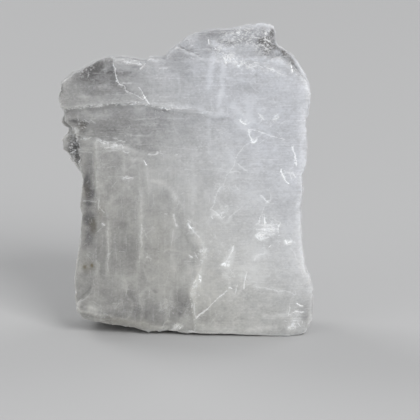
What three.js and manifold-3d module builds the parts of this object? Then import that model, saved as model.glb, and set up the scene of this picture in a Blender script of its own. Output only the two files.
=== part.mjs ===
// A cryolite cleavage slab: one blocky, milky-white piece that stands on its flat lower edge.
// Millimetres, +Z up, broad front face towards -Y. The origin is at the bottom centre of the part's box.
//
// The slab is drawn in its own face frame: u runs to the right and v up the broad face, and w is the
// distance from the slab's middle plane, towards the front. The finished slab leans back by LEAN.
import * as THREE from 'three';
import { mergeVertices } from 'three/addons/utils/BufferGeometryUtils.js';
import Module from 'manifold-3d';

const SLAB_HEIGHT = 48; // up the broad face, from the lower edge to the top of the knob
const SLAB_THICKNESS = 15; // between the broad faces
const LEAN = THREE.MathUtils.degToRad(8); // how far the broad face leans back from upright
const EDGE_BREAK = 0.5; // broken edge between a broad face and the sides
const CLEARANCE = 4; // how far a cutter reaches past the surface that it cuts
const REACH = 4 * SLAB_HEIGHT; // side of the blocks that stand for half spaces
const RAGGEDNESS = 0.16; // how much the broken outline wavers
const SAMPLES_PER_POINT = 2; // outline samples for each drawn point
const RAGGED_RUN = 1.1; // length of a straight run on a ledge's ragged edge
const LEDGE_RAGGEDNESS = 0.1; // how far the edge of a ledge wavers, unless it states its own
const WELD = 1e-4; // vertices closer than this are one
const FRONT = SLAB_THICKNESS / 2; // the front face's place along w

const PARTING_WHITE = new THREE.MeshStandardMaterial({
  name: 'cryolite',
  color: new THREE.Color(0.72, 0.73, 0.74),
  roughness: 0.35,
  metalness: 0,
});

// The outline in the face frame, anticlockwise from the lower left corner. Each point is
// [u, v, how far the front layer stays inside it, how far the back layers do]. A negative
// value reaches outside, below the standing plane, which cuts it off.
const LOWER_EDGE = [
  [-17.0, 3.9, 0.3, 0.6],
  [-16.1, 2.7, 0.2, 0.2],
  [-13.6, 2.1, 0.1, -0.6],
  [-10.7, 1.6, 0.0, -1.4],
  [-7.9, 1.3, 0.0, -1.8],
  [-5.8, 0.6, 0.0, -2.0],
  [-2.7, 0.7, 0.2, -2.0],
  [-1.5, 0.6, 0.2, -2.0],
  [-0.5, 0.4, 0.0, -2.0],
  [4.0, 0.4, 0.0, -2.0],
  [8.2, 0.3, 0.0, -2.0],
  [13.5, 0.0, 0.0, -2.0],
  [16.7, 0.1, 0.0, -1.5],
  [18.2, 0.4, 0.1, -0.4],
];
const RIGHT_SIDE = [
  [19.0, 1.2, 0.1, 0.4],
  [19.3, 2.6, 0.0, 0.8],
  [19.5, 4.6, 0.0, 1.0],
  [19.4, 7.0, 0.0, 1.2],
  [19.0, 9.0, 0.0, 1.3],
  [18.4, 10.9, 0.1, 1.2],
  [17.9, 13.4, 0.0, 1.1],
  [17.7, 16.7, 0.0, 0.9],
  [17.7, 20.2, 0.1, 0.8],
  [17.9, 22.6, 0.0, 0.9],
  [17.9, 24.6, 0.2, 1.3],
  [18.4, 26.1, 0.1, 1.8],
  [18.5, 28.1, 0.0, 2.0],
  [18.4, 30.4, 0.0, 1.9],
  [18.5, 32.8, 0.1, 1.8],
  [19.0, 35.6, 0.0, 1.9],
  [19.0, 37.7, 0.1, 2.1],
  [18.7, 39.4, 0.4, 2.4],
];
const UPPER_RIGHT_SHOULDER = [
  [17.9, 40.7, 0.9, 2.7],
  [16.9, 42.3, 1.3, 3.0],
  [15.4, 43.6, 1.4, 3.1],
  [14.1, 44.4, 0.9, 3.0],
  [13.7, 45.0, 0.3, 2.9],
];
const KNOB = [
  [13.7, 46.8, 0.2, 3.4],
  [13.1, 47.6, 0.3, 3.9],
  [11.9, 48.0, 0.4, 4.1],
  [10.6, 47.8, 0.4, 4.1],
  [9.1, 47.5, 0.3, 3.9],
  [7.0, 47.2, 0.3, 3.6],
  [4.6, 47.0, 0.2, 3.4],
  [2.1, 46.5, 0.1, 3.2],
  [0.3, 45.8, 0.1, 3.0],
  [-1.5, 44.5, 0.1, 2.6],
  [-2.7, 43.5, 0.2, 2.2],
];
const UPPER_LEFT_SHOULDER = [
  [-3.2, 42.9, 0.3, 2.0],
  [-4.4, 42.7, 0.2, 2.2],
  [-5.5, 42.7, 0.1, 2.3],
  [-6.4, 42.3, 0.2, 2.2],
  [-7.9, 42.6, 0.1, 2.6],
  [-10.0, 42.9, 0.2, 3.0],
  [-12.0, 42.8, 0.3, 3.2],
  [-14.1, 42.1, 0.4, 3.2],
  [-16.3, 41.0, 0.5, 3.0],
  [-18.2, 39.8, 0.5, 2.8],
  [-19.3, 38.8, 0.4, 2.6],
];
const LEFT_SIDE = [
  [-19.3, 37.5, 0.3, 2.4],
  [-19.6, 36.3, 0.2, 2.3],
  [-19.3, 35.0, 0.3, 2.2],
  [-18.7, 33.7, 0.4, 1.8],
  [-19.0, 33.0, 0.8, 1.6],
  [-18.4, 31.6, 1.3, 1.2],
  [-18.5, 30.9, 1.8, 1.0],
  [-18.8, 29.5, 2.6, 0.9],
  [-18.2, 28.0, 2.2, 0.8],
  [-17.4, 26.5, 1.1, 0.5],
  [-16.3, 24.9, 0.3, 0.3],
  [-16.0, 23.1, 0.2, 0.5],
  [-16.3, 21.0, 0.1, 0.8],
  [-16.2, 17.9, 0.2, 0.9],
  [-16.4, 14.9, 0.2, 1.0],
  [-16.7, 12.5, 0.1, 1.1],
  [-17.2, 9.3, 0.1, 1.2],
  [-17.3, 7.3, 0.2, 1.2],
  [-17.2, 5.9, 0.3, 1.0],
];
const OUTLINE = [
  ...LOWER_EDGE,
  ...RIGHT_SIDE,
  ...UPPER_RIGHT_SHOULDER,
  ...KNOB,
  ...UPPER_LEFT_SHOULDER,
  ...LEFT_SIDE,
];

// The parting layers, front to back. Each ring of the slab's side is
// [depth behind the front face, share of the front inset, share of the back inset, step depth, wander].
const SIDE_RINGS = [
  [0, 1, 0, EDGE_BREAK, 0],
  [EDGE_BREAK, 1, 0, 0.08, 0],
  [2.9, 0.9, 0, 0.1, 0.5],
  [3.4, 0.1, 0, 0.35, 0.5],
  [5.4, 0, 0, 0, 0.6],
  [6.6, 0, 0.25, 0.45, 0.8],
  [9.2, 0, 0.35, 0.2, 0.8],
  [9.8, 0, 0.7, 0.5, 0.7],
  [12.2, 0, 0.8, 0.2, 0.6],
  [12.7, 0, 1, 0.45, 0.4],
  [SLAB_THICKNESS - EDGE_BREAK, 0, 1.05, 0.2, 0],
  [SLAB_THICKNESS, 0, 1.1, 0.5 + EDGE_BREAK, 0],
];

// Insets run towards this upright line inside the slab, so that no inset outline crosses itself.
const HEART = { u: 1, low: 12, high: 33 };

const wasm = await Module();
wasm.setup();

// A repeatable wavy value between about -1 and 1, for a place along the outline.
function wave(along, seed) {
  const turn = along * 2 * Math.PI;
  return (
    0.45 * Math.sin(5 * turn + 1.7 * seed) +
    0.33 * Math.sin(11 * turn + 2.9 * seed) +
    0.22 * Math.sin(23 * turn + 4.3 * seed)
  );
}

// A repeatable value between 0 and 1 for a whole number.
function scatter(n) {
  const x = Math.sin(n * 127.1 + 311.7) * 43758.5453;
  return x - Math.floor(x);
}

function solidFrom(geometry) {
  const bare = geometry.clone();
  for (const name of Object.keys(bare.attributes)) {
    if (name !== 'position') bare.deleteAttribute(name);
  }
  const merged = mergeVertices(bare, WELD);
  return new wasm.Manifold(
    new wasm.Mesh({
      numProp: 3,
      vertProperties: new Float32Array(merged.attributes.position.array),
      triVerts: new Uint32Array(merged.index.array),
    }),
  );
}

function geometryFrom(solid) {
  const mesh = solid.getMesh();
  const geometry = new THREE.BufferGeometry();
  geometry.setAttribute('position', new THREE.BufferAttribute(mesh.vertProperties, 3));
  geometry.setIndex(new THREE.BufferAttribute(mesh.triVerts, 1));
  geometry.computeVertexNormals();
  return geometry;
}

// The drawn outline, sampled as a smooth closed curve with its insets beside each sample.
function sampledOutline() {
  const curve = new THREE.CatmullRomCurve3(
    OUTLINE.map(([u, v]) => new THREE.Vector3(u, v, 0)),
    true,
    'centripetal',
  );
  const count = OUTLINE.length * SAMPLES_PER_POINT;
  const samples = [];
  for (let i = 0; i < count; i++) {
    const along = i / count;
    const place = curve.getPoint(along);
    const drawn = Math.floor(i / SAMPLES_PER_POINT);
    const blend = (i % SAMPLES_PER_POINT) / SAMPLES_PER_POINT;
    const next = (drawn + 1) % OUTLINE.length;
    const mix = (column) =>
      THREE.MathUtils.lerp(OUTLINE[drawn][column], OUTLINE[next][column], blend);
    const out = new THREE.Vector2(
      place.x - HEART.u,
      place.y - THREE.MathUtils.clamp(place.y, HEART.low, HEART.high),
    ).normalize();
    samples.push({
      along,
      out,
      place: new THREE.Vector2(place.x, place.y).addScaledVector(out, RAGGEDNESS * (scatter(i) - 0.5)),
      front: mix(2),
      back: mix(3),
    });
  }
  return samples;
}

// The slab before its ledges are cut: one extrusion of the outline, whose rings are then
// drawn in and moved along the thickness to make the parting steps of the sides.
function makeSlab() {
  const samples = sampledOutline();
  const last = SIDE_RINGS.length - 1;
  const geometry = new THREE.ExtrudeGeometry(
    new THREE.Shape(samples.map((s) => s.place)),
    { depth: 1, steps: last, bevelEnabled: false },
  );
  const key = (u, v) => `${Math.fround(u)},${Math.fround(v)}`;
  const sampleAt = new Map(samples.map((s) => [key(s.place.x, s.place.y), s]));
  const position = geometry.attributes.position;
  for (let i = 0; i < position.count; i++) {
    const sample = sampleAt.get(key(position.getX(i), position.getY(i)));
    const ring = Math.round((1 - position.getZ(i)) * last);
    const [depth, frontShare, backShare, step, wander] = SIDE_RINGS[ring];
    const stepHere = step * (0.55 + 0.45 * wave(sample.along, ring));
    const inset = frontShare * sample.front + backShare * sample.back + stepHere;
    const layer = Math.ceil(ring / 2); // the two rings of one step wander together
    position.setXYZ(
      i,
      sample.place.x - sample.out.x * inset,
      sample.place.y - sample.out.y * inset,
      FRONT - depth - wander * wave(sample.along, 3 * layer),
    );
  }
  return solidFrom(geometry);
}

// A closed region with a ragged edge: each drawn side is broken into short runs.
function raggedRegion(corners, raggedness, seed) {
  const points = [];
  corners.forEach(([u, v], i) => {
    const [nextU, nextV] = corners[(i + 1) % corners.length];
    const length = Math.hypot(nextU - u, nextV - v);
    const pieces = Math.max(1, Math.round(length / RAGGED_RUN));
    for (let k = 0; k < pieces; k++) {
      const shift = k === 0 ? 0 : raggedness * (scatter(seed + 31 * i + k) - 0.5) * 2;
      points.push(
        new THREE.Vector2(
          u + ((nextU - u) * k) / pieces - ((nextV - v) / length) * shift,
          v + ((nextV - v) * k) / pieces + ((nextU - u) / length) * shift,
        ),
      );
    }
  });
  return points;
}

// The plane through three [u, v, depth] points, as a function of u and v.
function depthPlane([a, b, c]) {
  const normal = new THREE.Vector3(b[0] - a[0], b[1] - a[1], b[2] - a[2]).cross(
    new THREE.Vector3(c[0] - a[0], c[1] - a[1], c[2] - a[2]),
  );
  return (u, v) => a[2] - (normal.x * (u - a[0]) + normal.y * (v - a[1])) / normal.z;
}

// A cutter that lowers a region of the front face (side 1) or the back face (side -1) to a
// sloping floor. The floor's depth is given at three places, and where it comes out above
// the face nothing is cut.
function loweredRegion({ corners, floor, ragged = LEDGE_RAGGEDNESS, side = 1 }, seed) {
  const geometry = new THREE.ExtrudeGeometry(
    new THREE.Shape(raggedRegion(corners, ragged, seed)),
    { depth: 1, steps: 1, bevelEnabled: false },
  );
  const depthAt = depthPlane(floor);
  const position = geometry.attributes.position;
  for (let i = 0; i < position.count; i++) {
    const onFloor = side > 0 ? position.getZ(i) < 0.5 : position.getZ(i) > 0.5;
    const depth = depthAt(position.getX(i), position.getY(i));
    const face = side * FRONT;
    const w = onFloor ? face - side * depth : face + side * CLEARANCE;
    position.setZ(i, w);
  }
  return solidFrom(geometry);
}

// Sloped breaks on the edges of the broad faces, where the slab is worn or chipped.
const FRONT_BREAKS = {
  knobFacet: {
    corners: [[-1, 44.2], [2.5, 42.6], [5.8, 42.2], [8.4, 41.3], [11.4, 41.6], [15, 43.2],
      [16, 50], [-4, 50]],
    floor: [[0, 42.5, 0], [12, 41.4, 0], [8, 48, 3.6]],
  },
  knobEndFacet: {
    corners: [[11.8, 50], [12.2, 45.6], [11, 43.2], [13.2, 42.4], [17, 44], [17, 50]],
    floor: [[11.6, 45, 1.6], [12.4, 48, 3.8], [13.8, 44.6, 4]],
  },
  upperLeftBreak: {
    corners: [[-22, 33.8], [-17.6, 36.4], [-13.4, 38.4], [-10.6, 38.8], [-10.9, 41.2], [-11.2, 46],
      [-22, 46]],
    floor: [[-18.6, 36, 0.05], [-10.8, 38.9, 0.1], [-13, 42.6, 1.7]],
  },
  lowerLeftBreak: {
    corners: [[-19, 4.6], [-13.6, 3.8], [-8.6, 3.0], [-4.4, 2.2], [-1.2, 1.4], [-1.2, -3], [-19, -3]],
    floor: [[-16, 4.4, 0], [-3, 2, 0], [-11, 1.4, 1.5]],
  },
  lowerRightBreak: {
    corners: [[15.2, -3], [15.8, 1.6], [16.6, 4.6], [18, 8.4], [22, 10], [22, -3]],
    floor: [[15.6, 0, 0], [17.4, 7.4, 0], [19, 2, 1.4]],
  },
  rightEdgeBreak: {
    corners: [[17.2, 24], [17.6, 26.8], [17.3, 31.5], [17.6, 36], [21, 38], [21, 22]],
    floor: [[17.4, 24, 0], [17.6, 36, 0], [18.6, 30, 0.6]],
  },
};

// Parting ledges of the front face.
const FRONT_LEDGES = {
  middleBand: {
    corners: [[-22, 34.8], [-18.8, 34.9], [-13.8, 35.3], [-8.5, 35.8], [-5.8, 35.6], [-3.9, 35.1],
      [-1.6, 34.6], [2.6, 34.2], [4, 33.5], [7.2, 33.8], [10, 31.6], [7.4, 31], [3.8, 29.6],
      [0.4, 28.3], [-2.4, 27.9], [-5.9, 28.1], [-7.7, 28.4], [-11.2, 29.3], [-13.5, 30.1],
      [-15.8, 30.1], [-22, 30.2]],
    floor: [[-18, 34, 0.75], [-15, 30.5, 0.45], [9.6, 31.8, 0]],
    ragged: 0.16,
  },
  lowerLeftPanel: {
    corners: [[-6, 24.6], [-3.4, 22.6], [-1.8, 20.4], [-0.7, 17.3], [0.4, 14.9], [2, 12.8],
      [2.7, 11.1], [1.6, 8.8], [0.7, 6.4], [1, 4.2], [1.4, 2.7], [1.2, -3], [-19, -3], [-19, 16],
      [-14, 22]],
    floor: [[-15, 5, 0.15], [1, 5, 0.32], [-5, 24, 0]],
    ragged: 0.2,
  },
  leftStrip: {
    corners: [[-13.7, 30.6], [-13.5, 25], [-13.6, 20], [-12.8, 15], [-13.4, 10], [-14.6, 6.8],
      [-19, 3.4], [-19, 30.6]],
    floor: [[-13.5, 28, 0.2], [-13.2, 8, 0.02], [-16.5, 20, 1.2]],
    ragged: 0.08,
  },
  bottomChip: {
    corners: [[-3.4, 2.4], [-2, 2.9], [-0.2, 1.9], [0.6, -2], [-3.8, -2]],
    floor: [[-2.6, 2.6, 0.5], [0, 1.5, 0.35], [-2, -0.5, 1.2]],
    ragged: 0.12,
  },
};

// Parting ledges and breaks of the back face.
const BACK_LEDGES = {
  upperStep: {
    corners: [[-22, 31.4], [-9, 32.4], [-2, 34.6], [5, 34.2], [9, 36.8], [22, 37.4], [22, 52], [-22, 52]],
    floor: [[-16, 32, 0.9], [16, 37.5, 0.7], [0, 46, 2.6]],
    ragged: 0.22,
    side: -1,
  },
  sideStep: {
    corners: [[9.4, 38], [10.2, 30], [8.6, 22], [9.8, 13], [8.8, 6], [10, -4], [22, -4], [22, 38]],
    floor: [[9.5, 30, 0.8], [9.5, 8, 0.6], [18, 18, 1.8]],
    ragged: 0.2,
    side: -1,
  },
  lowerBreak: {
    corners: [[-22, 9.6], [-12, 8.2], [-6, 9.4], [-1.4, 6.2], [3, 5.4], [9, 4.6], [9, -4], [-22, -4]],
    floor: [[-15, 9, 0.3], [8, 4.8, 0.3], [-4, 2, 1.3]],
    ragged: 0.22,
    side: -1,
  },
  leftLedge: {
    corners: [[-22, 30.5], [-11.5, 29.6], [-10.6, 22], [-12.2, 17.6], [-22, 18.4]],
    floor: [[-11, 29, 0.6], [-12, 18, 0.6], [-17, 24, 1.7]],
    ragged: 0.2,
    side: -1,
  },
};

// Parting stairs at the back: nested blocks are broken away, each a step further out and
// nearer to the front. A block starts at its corner [u, v, w] and reaches out from it along each
// axis, towards the side that opens gives. It is turned in the plane of the broad face, in degrees.
const BACK_STAIRS = {
  upperRight: { corner: [12.6, 29.5, -5.2], opens: [1, 1, -1], step: [1.7, -2.6, 1.5], count: 3, turn: 3 },
  lowerLeft: { corner: [-11.4, 19.5, -5.4], opens: [-1, -1, -1], step: [-1.4, 1.5, 1.3], count: 3, turn: -3 },
  top: { corner: [-8.6, 38.4, -4.3], opens: [1, 1, -1], step: [2.3, 1.9, 1.4], count: 3, turn: -4 },
  knob: { corner: [2.8, 43.2, -0.6], opens: [1, 1, -1], step: [2.4, 1.3, 1.2], count: 2, turn: 4 },
  lowerRight: { corner: [13.6, 8.6, -5.6], opens: [1, -1, -1], step: [1.5, -1.4, 1.5], count: 2, turn: -4 },
  leftShelf: { corner: [-14.4, 31.5, -3.4], opens: [-1, 1, -1], step: [-1.2, 1.1, 1.3], count: 2, turn: 5 },
};

// Flat breaks across the corners of the back and along the sides. Each plane passes through a
// place [u, v, w] and takes away what lies on the side that it faces.
const FLAT_BREAKS = {
  upperLeftCorner: { through: [-15.4, 39.2, -3.2], faces: [-0.62, 0.5, -0.6] },
  upperRightCorner: { through: [12.6, 42.6, -4.2], faces: [0.45, 0.62, -0.64] },
  lowerRightCorner: { through: [17.4, 3.4, -4.4], faces: [0.7, -0.3, -0.65] },
  leftEdge: { through: [-15.3, 24, -4.6], faces: [-0.78, 0.08, -0.62] },
  rightUpperSide: { through: [17.6, 34, -2.2], faces: [0.9, 0.14, -0.36] },
  rightLowerSide: { through: [18.6, 6, -1.8], faces: [0.8, -0.1, -0.5] },
  leftLowerSide: { through: [-16.1, 9, -1.2], faces: [-0.93, -0.1, -0.34] },
  leftShoulder: { through: [-18.4, 37, -0.4], faces: [-0.86, 0.3, -0.36] },
  knobBack: { through: [7, 46.7, -0.2], faces: [0.12, 0.86, -0.5] },
};

// Everything below the standing plane, in the leaning frame, as one block to take away.
function standingCut() {
  const block = new THREE.BoxGeometry(REACH, REACH, REACH);
  block.translate(0, 0, -REACH / 2);
  return solidFrom(block);
}

// From the face frame to the part's frame: w turns to -Y and v up, leaning back, with the
// lower front edge on the standing plane.
function leaningFrame() {
  const across = new THREE.Vector3(1, 0, 0);
  const up = new THREE.Vector3(0, Math.sin(LEAN), Math.cos(LEAN));
  const outwards = new THREE.Vector3(0, -Math.cos(LEAN), Math.sin(LEAN));
  return new THREE.Matrix4()
    .makeBasis(across, up, outwards)
    .setPosition(0, 0, -FRONT * Math.sin(LEAN));
}

// One nested block for each step of a parting stair.
function stairBlocks({ corner, opens, step, count, turn }) {
  return Array.from({ length: count }, (_, k) => {
    const start = corner.map((value, axis) => value + k * step[axis]);
    const block = new THREE.BoxGeometry(REACH, REACH, REACH);
    block.translate(...opens.map((side) => (side * REACH) / 2));
    block.rotateZ(THREE.MathUtils.degToRad(turn));
    block.translate(...start);
    return solidFrom(block);
  });
}

// The half space beyond a flat break, as a large block.
function breakBlock({ through, faces }) {
  const block = new THREE.BoxGeometry(REACH, REACH, REACH);
  block.translate(0, 0, REACH / 2);
  const towards = new THREE.Vector3(...faces).normalize();
  block.applyQuaternion(
    new THREE.Quaternion().setFromUnitVectors(new THREE.Vector3(0, 0, 1), towards),
  );
  block.translate(...through);
  return solidFrom(block);
}

function makeCryolite() {
  const regions = { ...FRONT_BREAKS, ...FRONT_LEDGES, ...BACK_LEDGES };
  const cutters = [
    ...Object.values(regions).map((region, i) => loweredRegion(region, 100 * (i + 1))),
    ...Object.values(BACK_STAIRS).flatMap(stairBlocks),
    ...Object.values(FLAT_BREAKS).map(breakBlock),
  ];
  const slab = cutters.reduce((solid, cutter) => solid.subtract(cutter), makeSlab());
  const leaning = geometryFrom(slab).applyMatrix4(leaningFrame());
  const standing = geometryFrom(solidFrom(leaning).subtract(standingCut()));
  standing.computeBoundingBox();
  const middle = standing.boundingBox.getCenter(new THREE.Vector3());
  standing.translate(-middle.x, -middle.y, 0);
  const mesh = new THREE.Mesh(standing, PARTING_WHITE);
  mesh.name = 'cryolite';
  return mesh;
}

const part = new THREE.Group();
part.add(makeCryolite());

export default part;
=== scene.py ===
"""The finish of a cryolite cleavage slab: its fine surface, its milky body and a plain studio."""

import math
from types import SimpleNamespace

import bmesh
import bpy
import numpy as np
from mathutils import Matrix, Vector
from mathutils.bvhtree import BVHTree
from mathutils.geometry import intersect_point_line
from mathutils.kdtree import KDTree


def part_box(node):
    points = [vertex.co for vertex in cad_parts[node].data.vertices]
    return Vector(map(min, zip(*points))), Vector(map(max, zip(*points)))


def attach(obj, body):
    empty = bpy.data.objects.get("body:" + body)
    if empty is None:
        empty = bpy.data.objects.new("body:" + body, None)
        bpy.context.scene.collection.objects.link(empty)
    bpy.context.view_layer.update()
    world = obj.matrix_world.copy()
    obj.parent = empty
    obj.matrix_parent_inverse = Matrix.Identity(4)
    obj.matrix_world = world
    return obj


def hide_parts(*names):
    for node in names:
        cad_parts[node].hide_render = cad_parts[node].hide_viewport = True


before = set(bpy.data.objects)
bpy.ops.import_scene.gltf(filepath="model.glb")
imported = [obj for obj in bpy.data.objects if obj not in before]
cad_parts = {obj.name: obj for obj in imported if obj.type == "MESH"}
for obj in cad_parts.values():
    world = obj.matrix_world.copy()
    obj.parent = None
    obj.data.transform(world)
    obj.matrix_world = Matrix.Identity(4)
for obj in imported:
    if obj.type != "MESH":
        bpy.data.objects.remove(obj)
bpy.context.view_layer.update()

MM = 0.001

# The slab's own frame, in millimetres: u to the right, v up the broad face, w out of it.
LEAN = math.radians(8)  # how far the broad face leans back
FRONT = 7.5  # w of the front face
BOX_MIDDLE = (-0.079, 2.566)  # how far the CAD box's middle lies off the slab's origin, in x and y

# The mesh.
MERGE = 1e-7  # in metres: corners of the CAD triangles nearer than this are one
GRAIN = 0.35  # edge of a cell of the fine mesh, halved again on the front face
FINE_DEPTH = 2.6  # how far behind the front face a ledge still gets the finer mesh
FINE_FACING = 0.6  # how squarely it has to face the front for that
SEAT = 0.03  # height above the floor that stays flat
SEAT_TOP = 0.5  # height above which the surface moves freely
SHARP = math.radians(28)  # an edge that turns more than this stays crisp
EDGE_PULL = 0.12  # vertices nearer than this to a crisp edge lie on it
SMOOTHING = 14  # rounds of smoothing of the front face

# The view and the studio.
VIEW_CENTRE = (3.65, 19.44, FRONT)  # the place on the face that the camera looks at
VIEW_ELEVATION = math.radians(12)
VIEW_DISTANCE = 360 * MM
VIEW_WIDTH = 63.84 * MM  # width of the picture at that place
VIEW_NEAREST = 10 * MM  # what is nearer than this isn't seen
SENSOR = 36
FLOOR_REACH = 3
FLOOR_GREY = (0.47, 0.47, 0.47, 1)
FLOOR_ROUGHNESS = 0.7
SKY_COLOUR = (0.93, 0.94, 0.96, 1)
SKY_STRENGTH = 0.45
SOFTBOXES = (  # name, place, side and power
    ("key_light", (0.60, -1.00, 0.75), 0.65, 14.1),
    ("fill_light", (-1.00, -0.90, 0.35), 0.80, 3.2),
    ("back_left_light", (-0.80, 0.80, 0.80), 0.70, 5.5),
    ("back_right_light", (0.85, 0.75, 0.70), 0.70, 3.5),
)


def slab_frame():
    """From the scene's metres to the slab's own frame in millimetres."""
    turn = Matrix(
        (
            (1, 0, 0, 0),
            (0, math.sin(LEAN), math.cos(LEAN), 0),
            (0, -math.cos(LEAN), math.sin(LEAN), 0),
            (0, 0, 0, 1),
        )
    )
    shift = Matrix.Translation((*BOX_MIDDLE, FRONT * math.sin(LEAN)))
    return turn @ shift @ Matrix.Scale(1 / MM, 4)


TO_SLAB = slab_frame()
FROM_SLAB = TO_SLAB.inverted()


# ---------------------------------------------------------------- patterns over points

# Odd factors that scramble a cell's place and seed into a number with no pattern.
CELL_FACTORS = (127.1, 311.7, 74.7)
SEED_FACTOR = 53.3
SPREAD_FACTOR = 43758.5453

CLOUD_TURN = np.array(Matrix.Rotation(0.6, 3, (1, 2, 3)))
FINER = 0.6  # how strong each finer swell of the clouds is beside the one before
CELL_WALL = 0.15  # the middle of a break keeps this share of a cell off its walls

SOFT_REACH = 0.5  # how far a soft line fades out past its width
CRISP_REACH = 0.32  # how far off a thin line its distance is kept
CRISP_CORE = 0.12  # how near to it the strength is full
THINNEST = 0.04  # half the width of a hair crack
FAR_OFF = 9.0  # in half widths, where no line is near
SPOT_CORE = 0.2  # share of a spot's radii that has its full strength


def lattice(cells, seed):
    """A repeatable number from 0 to 1 for each whole-number cell."""
    mixed = cells @ np.array(CELL_FACTORS) + SEED_FACTOR * seed
    return np.modf(np.abs(np.sin(mixed) * SPREAD_FACTOR))[0]


def lattice_vector(cells, seed):
    """Three repeatable numbers from 0 to 1 for each cell."""
    return np.stack([lattice(cells, seed + k) for k in range(3)], axis=1)


def noise(points, size, seed):
    """Smooth noise from -1 to 1, whose swells are about size millimetres apart along each axis."""
    scaled = points / np.array(size)
    base = np.floor(scaled)
    part = scaled - base
    ease = part * part * (3 - 2 * part)
    total = np.zeros(len(points))
    for corner in np.ndindex(2, 2, 2):
        weight = np.prod(np.where(corner, ease, 1 - ease), axis=1)
        total += weight * lattice(base + corner, seed)
    return 2 * total - 1


def clouds(points, size, seed, octaves):
    """Noise with finer and finer detail, turned at each step so that no grid shows."""
    total = 0
    for octave in range(octaves):
        points = points @ CLOUD_TURN
        total = total + noise(points, (size, size, size), seed + octave) * FINER**octave
        size = size / 2
    return total


def facets(points, size, seed, slope=1.0):
    """Flat breaks: each cell of an uneven packing is a plane with its own height and slope."""
    scaled = points / np.array(size)
    base = np.floor(scaled)
    nearest = np.full(len(points), np.inf)
    level = np.zeros(len(points))
    for step in np.ndindex(3, 3, 3):
        cell = base + np.array(step) - 1
        away = scaled - cell - CELL_WALL - (1 - 2 * CELL_WALL) * lattice_vector(cell, seed)
        lean = lattice_vector(cell, seed + 3) - 0.5
        distance = np.abs(away).max(axis=1)
        height = lattice(cell, seed + 6) - 0.5 + slope * np.sum(away * lean, axis=1)
        level = np.where(distance < nearest, height, level)
        nearest = np.minimum(nearest, distance)
    return level


def ramp(values, low, high):
    """0 below low, 1 above high, eased between them; high may be the lower one."""
    share = np.clip((values - low) / (high - low), 0, 1)
    return share * share * (3 - 2 * share)


def line_distance(places, line):
    """The distance of each (u, v) to a drawn line, below 0 on one side of it."""
    nearest = np.full(len(places), np.inf)
    for start, end in zip(line, line[1:]):
        start, run = np.array(start), np.array(end) - np.array(start)
        along = np.clip((places - start) @ run / (run @ run), 0, 1)
        away = places - start - along[:, None] * run
        side = np.where(run[0] * away[:, 1] > run[1] * away[:, 0], 1, -1)
        distance = side * np.linalg.norm(away, axis=1)
        nearest = np.where(np.abs(distance) < np.abs(nearest), distance, nearest)
    return nearest


def near_line(places, line, margin):
    """Which places may lie within the margin of a drawn line."""
    inside = (places > np.min(line, axis=0) - margin) & (places < np.max(line, axis=0) + margin)
    return np.flatnonzero(inside.all(axis=1))


def lines(places, drawn):
    """The strongest of some soft lines at each place, fading out evenly past its width."""
    strongest = np.zeros(len(places))
    for line, width, strength in drawn:
        found = near_line(places, line, SOFT_REACH + width)
        distance = np.abs(line_distance(places[found], line)) - width / 2
        close = np.clip(1 - distance / SOFT_REACH, 0, 1)
        strongest[found] = np.maximum(strongest[found], strength * close)
    return strongest


def crisp_lines(places, drawn):
    """For thin lines: how many half widths off the nearest line each place is, and its strength there.

    The first is below 0 on one side of the line, so that its place stays exact between the vertices.
    """
    off = np.full(len(places), FAR_OFF)
    power = np.zeros(len(places))
    strongest = np.zeros(len(places))
    for line, width, strength in drawn:
        found = near_line(places, line, CRISP_REACH)
        distance = line_distance(places[found], line)
        close = strength * np.clip(1 - np.abs(distance) / CRISP_REACH, 0, 1)
        stronger = close > strongest[found]
        chosen = found[stronger]
        strongest[chosen] = close[stronger]
        off[chosen] = distance[stronger] / (0.5 * width + THINNEST)
        power[chosen] = strength * ramp(np.abs(distance[stronger]), CRISP_REACH, CRISP_CORE)
    return off, power


def patch(places, centre, radii, turn=0):
    """A soft oval spot: 1 in the middle and 0 past its radii."""
    away = places - np.array(centre)
    c, s = math.cos(math.radians(turn)), math.sin(math.radians(turn))
    across = (away[:, 0] * c + away[:, 1] * s) / radii[0]
    up = (away[:, 1] * c - away[:, 0] * s) / radii[1]
    return ramp(np.hypot(across, up), 1, SPOT_CORE)


def patches(places, drawn):
    """The sum of some soft spots at each place."""
    total = np.zeros(len(places))
    for u, v, wide, tall, turn, strength in drawn:
        total += strength * patch(places, (u, v), (wide, tall), turn)
    return total


# ---------------------------------------------------------------- the fine mesh


def placed(name, data):
    """A new object in the scene, at the origin."""
    made = bpy.data.objects.new(name, data)
    bpy.context.scene.collection.objects.link(made)
    return made


def merged_copy(cad):
    """A closed copy of the CAD solid in the slab's frame."""
    solid = bmesh.new()
    solid.from_mesh(cad.data)
    bmesh.ops.remove_doubles(solid, verts=solid.verts, dist=MERGE)
    bmesh.ops.transform(solid, matrix=TO_SLAB, verts=solid.verts)
    return solid


def remeshed(solid):
    """The solid as an even mesh, finer on the front face."""
    rough = bpy.data.meshes.new("rough")
    solid.to_mesh(rough)
    holder = placed("rough", rough)
    remesh = holder.modifiers.new("Remesh", "REMESH")
    remesh.mode = "VOXEL"
    remesh.voxel_size = GRAIN
    even = bmesh.new()
    even.from_object(holder, bpy.context.evaluated_depsgraph_get())
    bpy.data.objects.remove(holder)
    bpy.data.meshes.remove(rough)
    even.normal_update()
    edges = {
        edge
        for face in even.faces
        if face.normal.z > FINE_FACING and face.calc_center_median().z > FRONT - FINE_DEPTH
        for edge in face.edges
    }
    bmesh.ops.subdivide_edges(even, edges=list(edges), cuts=1, use_grid_fill=True)
    return even


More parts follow.
